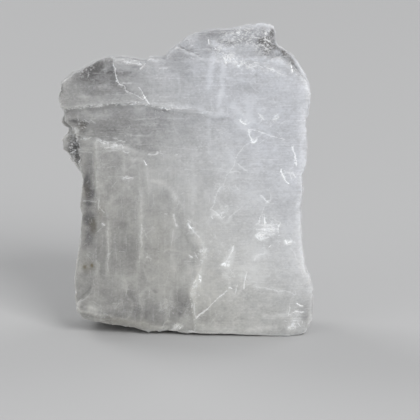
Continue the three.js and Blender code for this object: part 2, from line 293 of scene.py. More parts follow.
def crisp_edges(solid):
    """The sharp edges of the solid, and a tree of places along them that finds the nearest one."""
    edges = [
        (edge.verts[0].co.copy(), edge.verts[1].co.copy())
        for edge in solid.edges
        if edge.calc_face_angle(0) > SHARP
    ]
    places = [
        (start.lerp(end, share), index)
        for index, (start, end) in enumerate(edges)
        for share in np.linspace(0, 1, 2 + int((end - start).length / EDGE_PULL))
    ]
    tree = KDTree(len(places))
    for place, index in places:
        tree.insert(place, index)
    tree.balance()
    return edges, tree


def snap(even, solid):
    """Moves each vertex to the nearest place on the solid's surface, or onto a crisp edge close by."""
    surface = BVHTree.FromBMesh(solid)
    edges, tree = crisp_edges(solid)
    for vert in even.verts:
        place = surface.find_nearest(vert.co)[0]
        _, index, distance = tree.find(place)
        if distance < EDGE_PULL:
            start, end = edges[index]
            foot, share = intersect_point_line(place, start, end)
            place = start.lerp(end, min(max(share, 0), 1)) if not 0 <= share <= 1 else foot
        vert.co = place


class Surface:
    """The vertices of the fine mesh as arrays, in the slab's frame."""

    def __init__(self, mesh):
        self.mesh = mesh
        count = len(mesh.vertices)
        self.points = np.empty(count * 3)
        mesh.vertices.foreach_get("co", self.points)
        self.points = self.points.reshape(-1, 3)
        pairs = np.empty(len(mesh.edges) * 2, dtype=int)
        mesh.edges.foreach_get("vertices", pairs)
        self.pairs = pairs.reshape(-1, 2)
        self.valence = np.bincount(pairs, minlength=count)
        self.find_normals()

    def find_normals(self):
        """Puts the points into the mesh and works its normals out again."""
        self.mesh.vertices.foreach_set("co", self.points.ravel())
        self.mesh.update()
        normals = np.empty(self.points.size, dtype=np.float32)
        self.mesh.vertex_normals.foreach_get("vector", normals)
        self.normals = normals.reshape(-1, 3).astype(float)

    def around(self, values):
        """The mean of each vertex's neighbours."""
        a, b = self.pairs[:, 0], self.pairs[:, 1]
        columns = [
            np.bincount(a, weights=column[b], minlength=len(column))
            + np.bincount(b, weights=column[a], minlength=len(column))
            for column in values.T
        ]
        return np.stack(columns, axis=1) / self.valence[:, None]

    def smooth(self, share, times):
        """Evens out the vertices; share is how far each goes towards its neighbours."""
        for _ in range(times):
            self.points += share[:, None] * (self.around(self.points) - self.points)
        self.find_normals()

    def sharpness(self, times):
        """How far each vertex stands proud of its smoothed surroundings."""
        calm = self.points
        for _ in range(times):
            calm = 0.5 * calm + 0.5 * self.around(calm)
        return np.sum((self.points - calm) * self.normals, axis=1)

    def push(self, distance):
        """Moves the vertices out along their normals, and works the normals out again."""
        self.points += self.normals * distance[:, None]
        self.find_normals()


# ---------------------------------------------------------------- marks on the broad face

# Lines are their (u, v) points in millimetres, a width and a strength. Spots are the u and v of their
# middle, the radii along u and v, a turn in degrees and a strength.

UPPER_LEDGE = (
    (-19.1, 35.0), (-17.5, 35.0), (-16.0, 35.15), (-14.0, 35.4), (-12.5, 35.6), (-11.0, 35.75),
    (-9.0, 35.7), (-7.0, 35.6), (-5.8, 35.5), (-4.0, 35.3), (-2.0, 35.2), (0.0, 35.0), (1.6, 34.9),
    (2.4, 34.5), (3.4, 34.1), (4.0, 33.8), (5.4, 34.0), (7.0, 33.7), (7.6, 33.2), (8.6, 32.1),
    (9.4, 31.7),
)
LOWER_LEDGE = (
    (-15.8, 30.2), (-13.6, 29.9), (-12.6, 29.4), (-11.0, 29.1), (-9.8, 29.0), (-7.4, 28.4),
    (-6.2, 28.1), (-4.2, 28.0), (-1.8, 27.7), (0.0, 27.8), (2.9, 28.3), (7.4, 30.1),
)
PANEL_EDGE = (
    (-5.6, 23.8), (-4.4, 23.8), (-3.2, 23.4), (-2.4, 22.8), (-1.6, 21.4), (-0.6, 19.6),
    (0.3, 17.3), (1.2, 16.1), (2.2, 14.8), (2.8, 13.4), (2.2, 11.2), (1.7, 9.6), (1.1, 7.4),
    (1.1, 5.0), (1.5, 2.8), (1.2, -1.0),
)

# Edges of ledges, which are worn round and lightly frosted, with painted light on their step faces against
# the shade there.
LEDGES = ((UPPER_LEDGE, 0.7, 1.0), (LOWER_LEDGE, 0.6, 0.5), (PANEL_EDGE, 0.7, 0.7))

# A step of the solid that is evened out, with no frost or painted highlight on it.
FADED_LEDGE = (((-18.0, 4.4), (-16.6, 5.4), (-15.2, 6.4), (-14.3, 7.4), (-13.6, 8.6)), 1.4, 1.0)

# Cracks and fresh breaks that show as crisp white lines; a few short, thick, strong ones are painted glints.
CRACKS = (
    (((-11.0, 41.9), (-10.9, 41.2), (-10.7, 40.2)), 0.08, 0.9),
    (((-10.7, 40.2), (-10.4, 39.2), (-10.1, 38.7)), 0.05, 0.75),
    (((-10.5, 39.0), (-9.9, 38.5)), 0.10, 0.8),
    (((-10.1, 38.8), (-8.2, 38.8)), 0.05, 0.4),
    (((-10.2, 38.6), (-9.3, 38.3), (-9.0, 37.3)), 0.06, 0.6),
    (((-9.0, 37.4), (-7.8, 36.9), (-6.9, 36.4), (-6.1, 36.0)), 0.03, 0.55),
    (((-7.1, 38.0), (-6.5, 37.1), (-6.1, 36.4)), 0.03, 0.7),
    (((-6.4, 36.8), (-6.1, 36.3), (-5.7, 35.6)), 0.10, 1.0),
    (((-9.5, 41.9), (-7.8, 41.7), (-6.8, 41.6)), 0.12, 0.5),
    (((-6.2, 41.7), (-7.0, 40.9)), 0.14, 0.5),
    (((-4.0, 41.0), (-2.8, 40.9)), 0.12, 0.4),
    (((8.2, 33.1), (9.0, 32.4)), 0.18, 1.0),
    (((9.2, 32.3), (9.7, 32.9)), 0.06, 0.4),
    (((10.9, 34.1), (11.7, 33.3)), 0.12, 0.6),
    (((12.3, 33.0), (12.8, 32.2)), 0.11, 0.4),
    (((11.7, 34.9), (11.9, 34.6)), 0.14, 0.5),
    (((9.4, 31.7), (10.6, 31.5), (12.0, 31.1), (13.5, 30.6), (14.8, 30.3)), 0.06, 0.6),
    (((9.5, 31.5), (9.7, 30.5), (10.0, 29.8)), 0.14, 0.75),
    (((9.8, 29.9), (10.3, 29.6), (10.7, 30.1)), 0.14, 0.85),
    (((9.6, 29.6), (8.6, 29.0), (7.8, 28.0), (7.4, 26.9), (7.3, 26.2)), 0.05, 0.38),
    (((7.3, 26.2), (6.7, 25.3), (6.1, 24.6), (5.8, 23.4)), 0.04, 0.34),
    (((7.9, 26.5), (9.2, 25.3)), 0.12, 0.45),
    (((6.8, 25.3), (8.0, 25.2)), 0.10, 0.4),
    (((5.6, 23.2), (4.9, 22.4), (4.4, 21.4), (4.2, 20.4), (3.8, 19.4)), 0.05, 0.4),
    (((3.7, 19.5), (4.6, 19.0), (5.0, 18.6), (5.5, 18.1), (5.9, 18.4)), 0.06, 0.5),
    (((6.4, 18.0), (7.5, 19.2), (8.6, 20.0)), 0.07, 0.3),
    (((14.4, 25.6), (14.5, 24.9), (14.9, 24.3), (15.2, 23.8), (15.5, 23.5)), 0.14, 1.0),
    (((16.1, 29.0), (16.5, 27.8), (16.8, 26.3)), 0.12, 0.8),
    (((16.3, 25.1), (16.6, 24.4)), 0.13, 0.6),
    (((15.0, 25.3), (15.8, 25.0), (16.0, 24.2)), 0.10, 0.45),
    (((11.5, 21.6), (12.1, 21.1), (12.6, 20.7)), 0.15, 0.65),
    (((12.9, 21.8), (12.8, 20.9)), 0.10, 0.35),
    (((12.1, 20.5), (13.2, 20.4)), 0.10, 0.35),
    (((11.9, 19.8), (11.3, 18.3), (10.8, 17.3)), 0.10, 0.35),
    (((12.0, 18.6), (11.9, 17.4)), 0.12, 0.9),
    (((11.2, 18.3), (11.0, 17.4)), 0.10, 0.6),
    (((12.8, 17.9), (13.6, 17.1)), 0.04, 0.4),
    (((13.3, 18.2), (14.3, 17.5)), 0.04, 0.35),
    (((13.1, 16.9), (14.2, 16.2)), 0.05, 0.5),
    (((11.6, 16.1), (12.6, 15.6), (13.4, 15.8)), 0.05, 0.5),
    (((10.7, 17.2), (12.2, 17.1), (13.9, 17.2)), 0.11, 0.5),
    (((10.8, 16.5), (12.4, 16.7), (13.3, 16.4)), 0.12, 0.55),
    (((14.4, 17.3), (14.1, 16.9), (14.1, 16.1)), 0.13, 0.75),
    (((10.7, 15.6), (11.2, 14.9), (12.5, 15.1)), 0.13, 0.65),
    (((15.2, 14.7), (15.5, 14.2), (16.1, 14.6)), 0.14, 0.85),
    (((16.0, 13.4), (16.6, 12.7), (17.0, 11.9)), 0.10, 0.35),
    (((10.4, 11.8), (10.6, 12.4), (11.4, 12.7), (12.2, 12.7)), 0.16, 0.30),
    (((9.2, 9.9), (9.0, 8.6), (8.8, 7.5)), 0.05, 0.65),
    (((7.9, 8.1), (7.7, 7.2), (7.6, 6.6)), 0.05, 0.5),
    (((6.7, 7.6), (6.95, 7.5)), 0.16, 0.8),
    (((10.7, 7.7), (12.0, 7.5), (13.2, 7.2), (14.4, 7.0)), 0.10, 0.32),
    (((14.8, 7.3), (16.5, 6.6)), 0.12, 0.35),
    (((1.5, 2.8), (2.6, 3.8), (3.4, 4.4)), 0.12, 0.7),
    (((3.4, 4.4), (4.3, 5.5), (5.2, 6.2), (6.2, 7.1)), 0.07, 0.55),
    (((1.5, 2.8), (1.2, 3.9), (1.2, 5.0)), 0.10, 0.45),
    (((0.3, 17.3), (0.7, 16.8)), 0.14, 0.9),
    (((0.7, 16.8), (1.2, 16.1), (1.9, 15.3)), 0.10, 0.45),
    (((2.05, 9.4), (2.15, 8.7)), 0.16, 0.95),
    (((0.6, 12.4), (0.9, 12.2)), 0.13, 0.7),
    (((1.4, 12.9), (1.7, 12.2)), 0.12, 0.6),
    (((7.25, 13.9), (7.1, 13.2)), 0.13, 0.75),
    (((7.1, 13.2), (6.5, 12.3), (6.0, 11.4)), 0.08, 0.35),
    (((5.8, 11.3), (5.5, 11.1)), 0.14, 0.8),
    (((16.7, 4.0), (17.9, 3.8)), 0.12, 0.65),
    (((17.0, 5.1), (17.7, 4.8)), 0.16, 1.0),
    (((15.8, 4.6), (15.6, 3.3)), 0.10, 0.45),
    (((15.7, 1.4), (16.3, 1.7)), 0.13, 0.6),
    (((15.9, 41.6), (16.2, 40.5)), 0.08, 0.85),
    (((12.1, 41.2), (13.2, 40.7), (14.2, 40.1), (15.6, 39.7)), 0.03, 0.4),
    (((5.9, 42.9), (6.0, 42.0)), 0.10, 0.5),
    (((6.7, 43.0), (7.3, 42.4), (8.0, 41.6)), 0.03, 0.4),
    (((7.9, 41.4), (8.1, 41.4)), 0.12, 0.9),
    (((9.1, 41.5), (9.6, 41.1), (10.8, 41.3)), 0.04, 0.45),
    (((-6.35, 26.8), (-6.0, 26.3)), 0.10, 0.9),
    (((-5.6, 27.9), (-4.8, 27.8), (-4.1, 28.2)), 0.13, 0.55),
    (((-13.6, 30.0), (-12.9, 29.6), (-12.4, 29.5)), 0.03, 0.4),
    (((-12.4, 28.9), (-11.2, 29.1), (-10.0, 29.1)), 0.05, 0.45),
    (((-11.4, 29.7), (-10.6, 29.6)), 0.06, 0.5),
    (((-13.3, 21.0), (-13.2, 19.5)), 0.06, 0.4),
    (((-13.0, 19.9), (-12.5, 19.2)), 0.04, 0.35),
    (((-12.7, 17.3), (-12.5, 17.1)), 0.14, 0.6),
    (((-1.9, 18.6), (-1.7, 17.6), (-1.4, 17.0)), 0.15, 0.5),
    (((-9.4, 24.3), (-9.0, 24.1), (-8.4, 24.3)), 0.06, 0.5),
    (((-15.6, 20.8), (-14.9, 20.9), (-13.7, 20.7)), 0.05, 0.4),
    (((-6.0, 12.2), (-5.3, 12.0)), 0.13, 0.4),
    (((-3.1, 18.8), (-2.95, 18.7)), 0.15, 0.5),
    (((0.4, 0.9), (1.8, 0.7)), 0.15, 0.6),
    (((-6.9, 22.2), (-6.85, 20.4), (-6.8, 18.6)), 0.04, 0.26),
    (((-6.75, 17.4), (-6.8, 15.6), (-6.85, 13.9)), 0.05, 0.36),
    (((-7.1, 13.2), (-7.2, 11.0)), 0.03, 0.28),
    (((-11.85, 16.6), (-11.85, 13.4), (-11.95, 10.2)), 0.03, 0.32),
    (((-13.9, 22.0), (-13.8, 20.0)), 0.03, 0.28),
    (((-2.0, 16.4), (-2.2, 14.0)), 0.03, 0.28),
    (((-13.4, 30.1), (-12.9, 30.0)), 0.08, 0.50),
    (((-12.3, 29.9), (-11.7, 29.7)), 0.10, 0.50),
    (((-11.0, 29.4), (-10.4, 29.3)), 0.08, 0.40),
    (((-9.5, 28.3), (-8.9, 28.2)), 0.06, 0.50),
)

# Parting planes and healed cracks inside the slab, which show as soft pale bands.
VEILS = (
    (UPPER_LEDGE[:12], 0.14, 0.55),
    (UPPER_LEDGE[11:], 0.26, 0.6),
    (LOWER_LEDGE[:7], 0.24, 0.4),
    (PANEL_EDGE[:5], 0.22, 0.5),
    (PANEL_EDGE[6:10], 0.34, 0.22),
    (PANEL_EDGE[9:15], 0.42, 0.30),
    (((-6.8, 22.4), (-6.8, 18.4)), 0.30, 0.5),
    (((-6.8, 18.4), (-6.8, 12.4)), 0.26, 0.85),
    (((-7.3, 11.6), (-7.4, 9.9)), 0.13, 0.5),
    (((-7.5, 9.5), (-7.6, 8.0)), 0.15, 0.4),
    (((-11.8, 17.6), (-11.8, 12.5)), 0.13, 0.8),
    (((-12.0, 12.2), (-12.0, 9.6)), 0.15, 0.6),
    (((-13.6, 11.6), (-13.6, 9.8)), 0.14, 0.5),
    (((-13.65, 29.6), (-13.7, 25.2)), 0.16, 0.6),
    (((-13.7, 25.2), (-13.6, 22.0)), 0.16, 0.45),
    (((-9.4, 27.4), (-9.4, 25.6)), 0.12, 0.55),
    (((-8.9, 27.15), (-6.5, 27.0)), 0.12, 0.5),
    (((-5.9, 26.0), (-5.8, 24.0), (-5.6, 22.2)), 0.20, 0.4),
    (((-11.6, 20.6), (-10.0, 22.0), (-8.7, 23.2)), 0.22, 0.4),
    (((-12.9, 23.2), (-12.6, 22.2)), 0.18, 0.6),
    (((-1.9, 16.2), (-2.0, 13.0), (-1.8, 10.0)), 0.30, 0.35),
    (((-1.9, 19.6), (-1.8, 18.0), (-1.5, 16.9)), 0.25, 0.4),
    (((4.2, 45.0), (4.1, 42.4), (3.7, 40.5), (3.4, 38.2)), 0.26, 0.75),
    (((5.7, 41.2), (5.5, 39.0), (5.3, 36.9), (5.0, 35.2), (5.6, 34.0)), 0.24, 0.75),
    (((3.6, 33.4), (3.5, 28.4)), 0.16, 0.5),
    (((6.3, 28.7), (6.9, 27.6), (7.3, 26.6)), 0.16, 0.4),
    (((2.2, 26.7), (3.0, 25.8)), 0.12, 0.3),
    (((1.4, 22.7), (1.4, 21.0)), 0.15, 0.4),
    (((3.1, 22.2), (3.5, 21.0), (4.0, 20.8)), 0.15, 0.4),
    (((0.7, 21.2), (0.8, 19.2)), 0.13, 0.35),
    (((0.0, 26.3), (0.9, 26.2)), 0.14, 0.4),
    (((11.0, 28.8), (12.6, 27.4), (12.9, 24.6)), 0.30, 0.15),
    (((9.4, 0.9), (11.0, 1.35), (13.6, 1.5)), 0.20, 0.8),
    (((12.0, 3.2), (15.2, 3.3)), 0.22, 0.8),
    (((-16.2, 4.3), (-13.0, 4.2), (-9.8, 4.9)), 0.35, 0.5),
    (((-6.7, 7.2), (-6.7, 2.6)), 0.16, 0.3),
    (((-3.2, 5.6), (-2.9, 3.0)), 0.16, 0.3),
    (((-2.1, 6.2), (-1.7, 4.4)), 0.16, 0.35),
    (((10.6, 13.8), (12.6, 12.6), (14.6, 12.2)), 0.20, 0.2),
    (((5.4, 3.9), (5.0, 5.2), (5.1, 6.2)), 0.13, 0.3),
    (((16.2, 11.0), (17.0, 10.1)), 0.14, 0.35),
    (((-9.8, 9.2), (-8.6, 8.7)), 0.16, 0.35),
    (((0.2, 42.0), (1.6, 41.2), (3.0, 40.9)), 0.16, 0.3),
    (((6.2, 39.6), (8.0, 39.2), (10.4, 39.1)), 0.13, 0.45),
    (((10.5, 12.2), (11.3, 12.7), (12.4, 12.9)), 0.40, 0.70),
    (((7.2, 13.4), (6.5, 12.2), (6.0, 11.4)), 0.34, 0.70),
    (((6.9, 12.6), (6.6, 11.0), (6.3, 10.0), (5.9, 9.3)), 0.22, 0.70),
    (((10.6, 7.9), (12.6, 7.5), (14.6, 7.1)), 0.16, 0.50),
    (((8.4, 9.4), (10.6, 9.2), (12.6, 9.3)), 0.10, 0.60),
    (((9.4, 8.5), (11.8, 8.6)), 0.10, 0.55),
    (((8.2, 10.6), (10.2, 10.5)), 0.10, 0.60),
    (((7.2, 35.2), (8.4, 33.9), (9.4, 32.6)), 0.50, 0.60),
    (((9.2, 35.6), (9.5, 34.0), (10.2, 32.9)), 0.16, 0.70),
    (((15.6, 13.0), (16.4, 11.6), (16.9, 10.4)), 0.22, 0.35),
    (((-0.4, 44.0), (1.2, 42.0), (1.6, 40.0)), 0.30, 0.30),
    (((7.6, 22.6), (8.6, 22.0), (10.4, 21.8)), 0.30, 0.25),
)

# Spots of small broken flakes, whose white specks and strokes are partly painted glints.
FLAKES = (
    (13.6, 33.5, 1.1, 0.9, 0, 0.8),
    (11.4, 33.6, 0.8, 0.8, 0, 0.4),
    (9.2, 32.5, 1.0, 0.8, 0, 0.5),
    (10.2, 30.0, 1.0, 0.7, 0, 0.8),
    (8.4, 28.9, 0.9, 0.6, 30, 0.4),
    (5.2, 31.3, 0.9, 0.9, 0, 0.3),
    (5.6, 22.8, 2.2, 1.6, 0, 0.5),
    (6.2, 19.6, 3.0, 1.4, 0, 0.4),
    (4.4, 14.0, 2.6, 5.0, 0, 0.3),
    (-15.6, 32.4, 1.6, 1.2, 0, 0.6),
    (-9.0, 24.1, 1.3, 0.8, -15, 0.5),
    (12.4, 16.3, 2.4, 2.2, 10, 0.75),
    (11.3, 15.6, 0.9, 0.8, 0, 0.9),
    (15.5, 14.4, 1.2, 0.8, -20, 0.8),
    (4.8, 18.7, 1.5, 0.8, -25, 0.7),
    (8.4, 45.6, 6.4, 2.8, 6, 0.80),
    (12.8, 45.4, 1.6, 2.8, 0, 0.40),
    (11.6, 43.8, 2.4, 2.0, 0, 0.5),
    (5.2, 43.2, 2.8, 1.8, -30, 0.6),
    (8.0, 42.0, 3.4, 1.4, -25, 0.75),
    (11.4, 41.0, 3.0, 1.2, -12, 0.6),
    (14.0, 40.4, 2.4, 0.8, -28, 0.6),
    (15.2, 43.2, 1.8, 0.9, -38, 0.6),
    (-11.4, 29.2, 3.4, 0.9, -12, 0.60),
    (-15.2, 30.3, 1.3, 0.6, 0, 0.6),
    (-16.9, 31.3, 1.0, 1.0, 0, 0.6),
    (-3.1, 34.9, 1.4, 0.6, -6, 0.9),
    (-1.2, 35.0, 1.8, 0.4, -3, 0.6),
    (-4.8, 28.0, 1.4, 0.5, 0, 0.5),
    (-1.2, 27.7, 1.5, 0.6, 0, 0.4),
    (2.4, 13.0, 1.3, 2.2, 10, 0.6),
    (1.3, 7.4, 1.2, 3.2, 0, 0.55),
    (0.6, 17.0, 1.2, 2.6, 25, 0.5),
    (-1.4, 21.0, 1.4, 2.4, 30, 0.35),
    (0.6, 4.0, 2.6, 3.0, 0, 0.35),
    (-9.0, 5.0, 6.0, 3.6, 0, 0.22),
    (10.0, 10.0, 7.0, 4.6, 0, 0.22),
    (6.2, 11.1, 1.0, 0.9, 0, 0.6),
    (6.8, 13.4, 0.8, 0.9, 0, 0.5),
    (16.8, 3.0, 1.8, 2.6, -10, 0.6),
    (16.2, 1.4, 1.4, 1.0, 0, 0.6),
    (-15.4, 40.2, 3.6, 1.1, 32, 0.45),
    (-1.4, 1.5, 1.4, 0.9, 0, 0.9),
    (-2.9, 4.6, 2.4, 2.0, 0, 0.35),
    (-14.9, 16.0, 0.9, 6.0, 0, 0.25),
    (-14.6, 22.0, 0.9, 2.6, 0, 0.3),
    (-17.2, 28.6, 1.6, 3.4, 0, 0.85),
    (15.8, 24.6, 1.6, 2.2, 0, 0.35),
    (8.6, 33.8, 1.4, 1.4, -45, 0.35),
    (6.4, 11.9, 0.9, 2.0, -28, 0.45),
    (-8.2, 41.8, 2.4, 0.6, 0, 0.5),
    (-5.0, 42.3, 1.6, 0.5, 0, 0.5),
    (0.8, 45.0, 1.6, 0.8, 25, 0.45),
    (-13.0, 3.2, 3.2, 0.8, -12, 0.4),
)

# Whiter blobs.
WHITE = (
    (12.3, 16.3, 2.0, 1.7, 0, 0.35),
    (11.3, 15.4, 0.9, 0.6, 0, 0.40),
    (2.1, 14.9, 1.0, 2.4, 26, 0.34),
    (2.0, 9.4, 0.8, 2.6, 0, 0.22),
    (6.5, 11.8, 1.0, 2.2, -25, 0.26),
    (4.6, 18.9, 1.6, 0.9, -20, 0.22),
    (-16.9, 31.3, 0.9, 1.2, 0, 1.0),
    (-1.3, 1.5, 1.2, 0.7, 15, 0.9),
    (11.3, 15.6, 0.8, 0.75, 0, 0.45),
    (13.2, 16.4, 0.8, 0.6, 0, 0.3),
    (6.2, 11.0, 0.8, 0.7, 0, 0.18),
    (2.9, 13.3, 0.5, 0.6, 0, 0.5),
    (0.9, 6.6, 0.9, 1.6, 0, 0.35),
    (-11.3, 21.4, 0.7, 0.7, 0, 0.35),
    (17.0, 20.3, 0.5, 0.5, 0, 0.3),
    (14.9, 20.7, 0.5, 0.5, 0, 0.25),
    (-15.3, 36.5, 0.8, 0.6, 0, 0.3),
    (5.1, 36.5, 0.4, 0.6, 0, 0.4),
    (12.6, 46.6, 0.6, 0.5, 0, 0.6),
    (10.3, 45.9, 0.5, 0.4, 0, 0.5),
    (-14.0, 40.2, 0.4, 0.35, 0, 0.5),
    (-10.6, 30.3, 0.6, 0.5, 0, 0.3),
    (-13.6, 6.2, 1.6, 1.0, 0, 0.2),
)

# Darker places with less milk.
SMOKE = (
    (-13.6, 41.3, 3.2, 1.1, 22, 0.36),
    (-12.6, 39.6, 4.2, 2.0, 10, 0.26),
    (-10.9, 38.9, 0.9, 1.6, 0, 0.18),
    (-9.6, 37.8, 1.8, 1.1, -25, 0.20),
    (-9.6, 40.2, 2.6, 0.35, 0, 0.28),
    (-11.6, 40.3, 0.9, 0.4, 0, 0.30),
    (-15.7, 32.5, 1.3, 0.9, 0, 0.36),
    (-16.9, 32.9, 1.2, 0.5, 0, 0.25),
    (-15.6, 31.5, 1.0, 0.6, 0, 0.20),
    (-11.0, 31.3, 2.6, 0.8, 0, 0.14),
    (-8.0, 32.8, 2.4, 1.0, 0, 0.10),
    (-8.3, 34.2, 0.6, 0.8, 0, 0.08),
    (-10.8, 33.6, 1.0, 0.6, 0, 0.08),
    (-13.6, 34.6, 1.8, 0.7, 0, 0.15),
    (-3.2, 34.6, 1.0, 0.4, 0, 0.25),
    (-17.3, 28.7, 1.3, 1.8, 0, 0.62),
    (-16.6, 27.2, 1.0, 1.6, -30, 0.40),
    (-16.3, 29.6, 0.7, 1.3, 0, 0.22),
    (-15.2, 23.4, 0.8, 1.4, 0, 0.24),
    (-14.7, 22.0, 1.0, 1.0, 0, 0.16),
    (-14.8, 20.4, 1.2, 0.5, 0, 0.25),
    (-14.9, 18.0, 1.4, 1.6, 0, 0.32),
    (-14.1, 17.0, 0.8, 1.9, 0, 0.30),
    (-14.8, 15.0, 1.1, 1.8, 0, 0.25),
    (-9.4, 13.0, 3.0, 5.4, 0, 0.07),
    (-9.7, 17.0, 1.0, 1.2, 0, 0.12),
    (-4.4, 14.6, 2.6, 4.4, 0, 0.07),
    (-3.6, 21.6, 1.8, 1.6, 0, 0.08),
    (-8.4, 6.4, 1.2, 1.4, 0, 0.10),
    (-7.2, 3.6, 1.6, 1.6, 0, 0.13),
    (-4.6, 3.0, 3.4, 2.4, 0, 0.16),
    (-4.7, 7.0, 0.6, 0.5, 0, 0.22),
    (-0.6, 5.6, 1.9, 3.6, 0, 0.18),
    (-0.8, 3.4, 0.5, 0.6, 0, 0.18),
    (-0.6, 10.8, 0.9, 1.8, 0, 0.12),
    (8.6, 45.0, 1.2, 0.5, 0, 0.16),
    (11.2, 44.9, 1.5, 0.8, 10, 0.30),
    (6.2, 44.9, 2.2, 0.5, -6, 0.34),
    (4.4, 43.8, 1.8, 0.5, -14, 0.28),
    (13.3, 46.4, 0.7, 0.9, 0, 0.60),
    (12.9, 44.8, 1.3, 2.2, 0, 0.48),
    (13.7, 44.1, 1.0, 0.6, 0, 0.60),
    (11.4, 43.4, 2.0, 1.2, 0, 0.25),
    (9.8, 44.8, 5.4, 3.0, 0, 0.14),
    (15.0, 43.3, 1.8, 0.6, -38, 0.75),
    (0.9, 28.3, 2.0, 1.6, 0, -0.16),
    (-5.2, 16.0, 1.6, 4.0, 0, -0.12),
    (-14.3, 4.4, 1.8, 1.6, 0, -0.18),
    (-4.0, 0.9, 3.4, 1.4, 0, -0.16),
    (-11.2, 19.4, 1.6, 2.4, 0, -0.12),
    (5.6, 0.9, 3.0, 1.4, 0, -0.12),
    (-4.4, 40.0, 4.4, 2.6, 0, -0.14),
    (-14.0, 34.0, 6.0, 1.8, 0, -0.14),
    (-15.6, 40.0, 3.6, 2.4, 25, 0.12),
    (2.2, 43.2, 4.4, 2.2, 20, 0.12),
    (1.4, 40.0, 6.0, 4.4, 0, 0.06),
    (-14.8, 24.8, 1.3, 5.0, 0, 0.16),
    (-14.6, 9.6, 1.6, 2.4, 0, 0.10),
    (-15.6, 32.4, 1.4, 0.8, 0, 0.10),
    (4.2, 45.9, 4.2, 1.8, 10, 0.36),
    (-4.0, 16.2, 3.4, 6.0, 0, -0.10),
    (-2.2, 28.8, 5.6, 1.8, 0, -0.08),
    (-12.6, 11.4, 2.8, 4.2, 0, 0.08),
    (-2.2, 4.2, 1.8, 2.0, 0, 0.10),
    (4.0, 0.9, 5.4, 1.6, 0, -0.08),
    (17.0, 34.0, 3.0, 7.0, 0, 0.05),
    (16.1, 42.2, 1.3, 0.4, -44, 0.45),
    (2.6, 3.6, 3.0, 2.0, 0, 0.12),
    (-15.2, 40.4, 3.2, 1.8, 32, 0.18),
    (-14.9, 22.5, 1.4, 6.5, 0, 0.18),
    (9.6, 46.2, 4.8, 2.2, 0, 0.36),
    (6.6, 43.0, 4.4, 0.9, 0, 0.16),
    (9.8, 38.6, 4.0, 3.0, 0, 0.10),
    (8.0, 30.0, 2.6, 3.0, 0, 0.10),
    (17.6, 5.4, 1.8, 4.6, -8, 0.12),
    (-14.6, 3.3, 2.4, 0.5, -14, 0.15),
    (-12.2, 2.9, 1.0, 0.4, 0, 0.30),
    (9.9, 37.8, 2.4, 1.2, 0, 0.13),
    (9.0, 34.9, 1.2, 1.0, 0, 0.12),
    (4.8, 37.8, 0.9, 0.9, 0, 0.10),
    (10.7, 39.9, 0.35, 0.5, 0, 0.22),
    (18.2, 2.8, 0.8, 1.4, -20, 0.18),
    (4.4, 10.6, 2.0, 2.4, 0, 0.07),
    (1.1, 11.4, 0.9, 1.2, 0, 0.12),
    (2.6, 2.6, 1.4, 0.8, 0, 0.08),
    (0.6, 42.7, 1.6, 0.6, 0, 0.14),
    (11.9, 44.7, 1.5, 1.5, 0, 0.42),
    (7.0, 44.6, 3.0, 0.8, 0, 0.24),
    (3.4, 43.8, 2.2, 1.6, 0, 0.18),
    (10.0, 41.6, 5.4, 1.0, -6, 0.20),
    (14.0, 42.7, 1.6, 0.8, -20, 0.30),
    (15.4, 42.4, 2.4, 0.9, -38, 0.36),
    (16.6, 41.2, 1.4, 0.8, -52, 0.36),
    (17.3, 39.9, 0.9, 1.8, 20, 0.22),
    (-13.6, 37.4, 3.2, 1.0, 0, 0.24),
    (-7.4, 38.2, 2.0, 1.4, 0, -0.14),
    (-14.3, 21.8, 1.0, 2.0, 0, 0.18),
    (-15.2, 24.0, 0.7, 1.6, 0, 0.16),
    (-15.4, 13.8, 0.6, 1.0, 0, 0.12),
    (-15.3, 10.0, 0.7, 0.8, 0, 0.12),
    (-12.9, 10.0, 0.8, 0.7, 0, 0.14),
    (-14.0, 13.0, 0.7, 1.2, 0, -0.12),
    (-12.8, 5.4, 1.1, 1.1, 0, -0.15),
    (-15.5, 4.6, 1.0, 1.2, 0, 0.20),
    (-15.0, 22.0, 0.6, 3.6, 0, 0.12),
    (-14.9, 17.0, 0.9, 3.0, 0, 0.08),
    (5.4, 46.6, 3.4, 1.2, 8, 0.16),
    (12.4, 46.6, 1.6, 0.9, 0, 0.26),
    (12.6, 43.4, 1.8, 1.2, 0, 0.16),
    (-1.0, 43.2, 3.0, 1.4, 25, 0.18),
    (15.8, 40.6, 1.8, 1.4, -50, 0.16),
    (-14.2, 40.6, 2.2, 1.4, 25, 0.12),
    (-6.0, 4.4, 3.4, 2.0, 0, 0.08),
    (13.4, 4.2, 2.6, 2.0, 0, 0.09),
)

# Olive and brown specks of the host rock.
STAINS = (
    (-14.9, 10.8, 1.6, 1.5, 0, 0.35),
    (-14.4, 11.0, 0.34, 0.42, 0, 1.3),
    (-15.45, 10.7, 0.45, 0.4, 0, 0.8),
    (-14.1, 17.0, 0.9, 1.8, 0, 0.45),
    (-13.0, 19.0, 0.9, 1.8, 0, 0.25),
    (-15.2, 22.4, 1.0, 1.8, 0, 0.25),
    (-15.8, 32.3, 1.2, 1.0, 0, 0.25),
    (-9.5, 1.9, 8.0, 1.6, -6, 0.30),
    (-3.6, 15.4, 2.6, 6.0, 0, 0.10),
)

# Swellings and a notch of the granular lumps on the left; the strength is in millimetres.
LOBES = (
    (-18.5, 33.2, 1.4, 1.2, 0, 0.25),
    (-18.4, 31.4, 1.4, 1.0, 0, -0.50),
    (-18.4, 29.0, 1.6, 1.7, 0, 0.50),
)

# Clear, glassy places at thin edges.
CLEAR = (
    (-17.4, 28.3, 1.6, 2.2, 0, 0.12),
    (15.4, 43.2, 2.2, 0.8, -38, 0.6),
    (13.5, 45.4, 0.7, 1.6, 0, 0.3),
    (-19.2, 37.8, 0.8, 1.6, 0, 0.7),
    (-15.4, 3.2, 2.0, 0.7, -18, 0.2),
    (-14.9, 23.0, 0.8, 1.4, 0, 0.3),
)

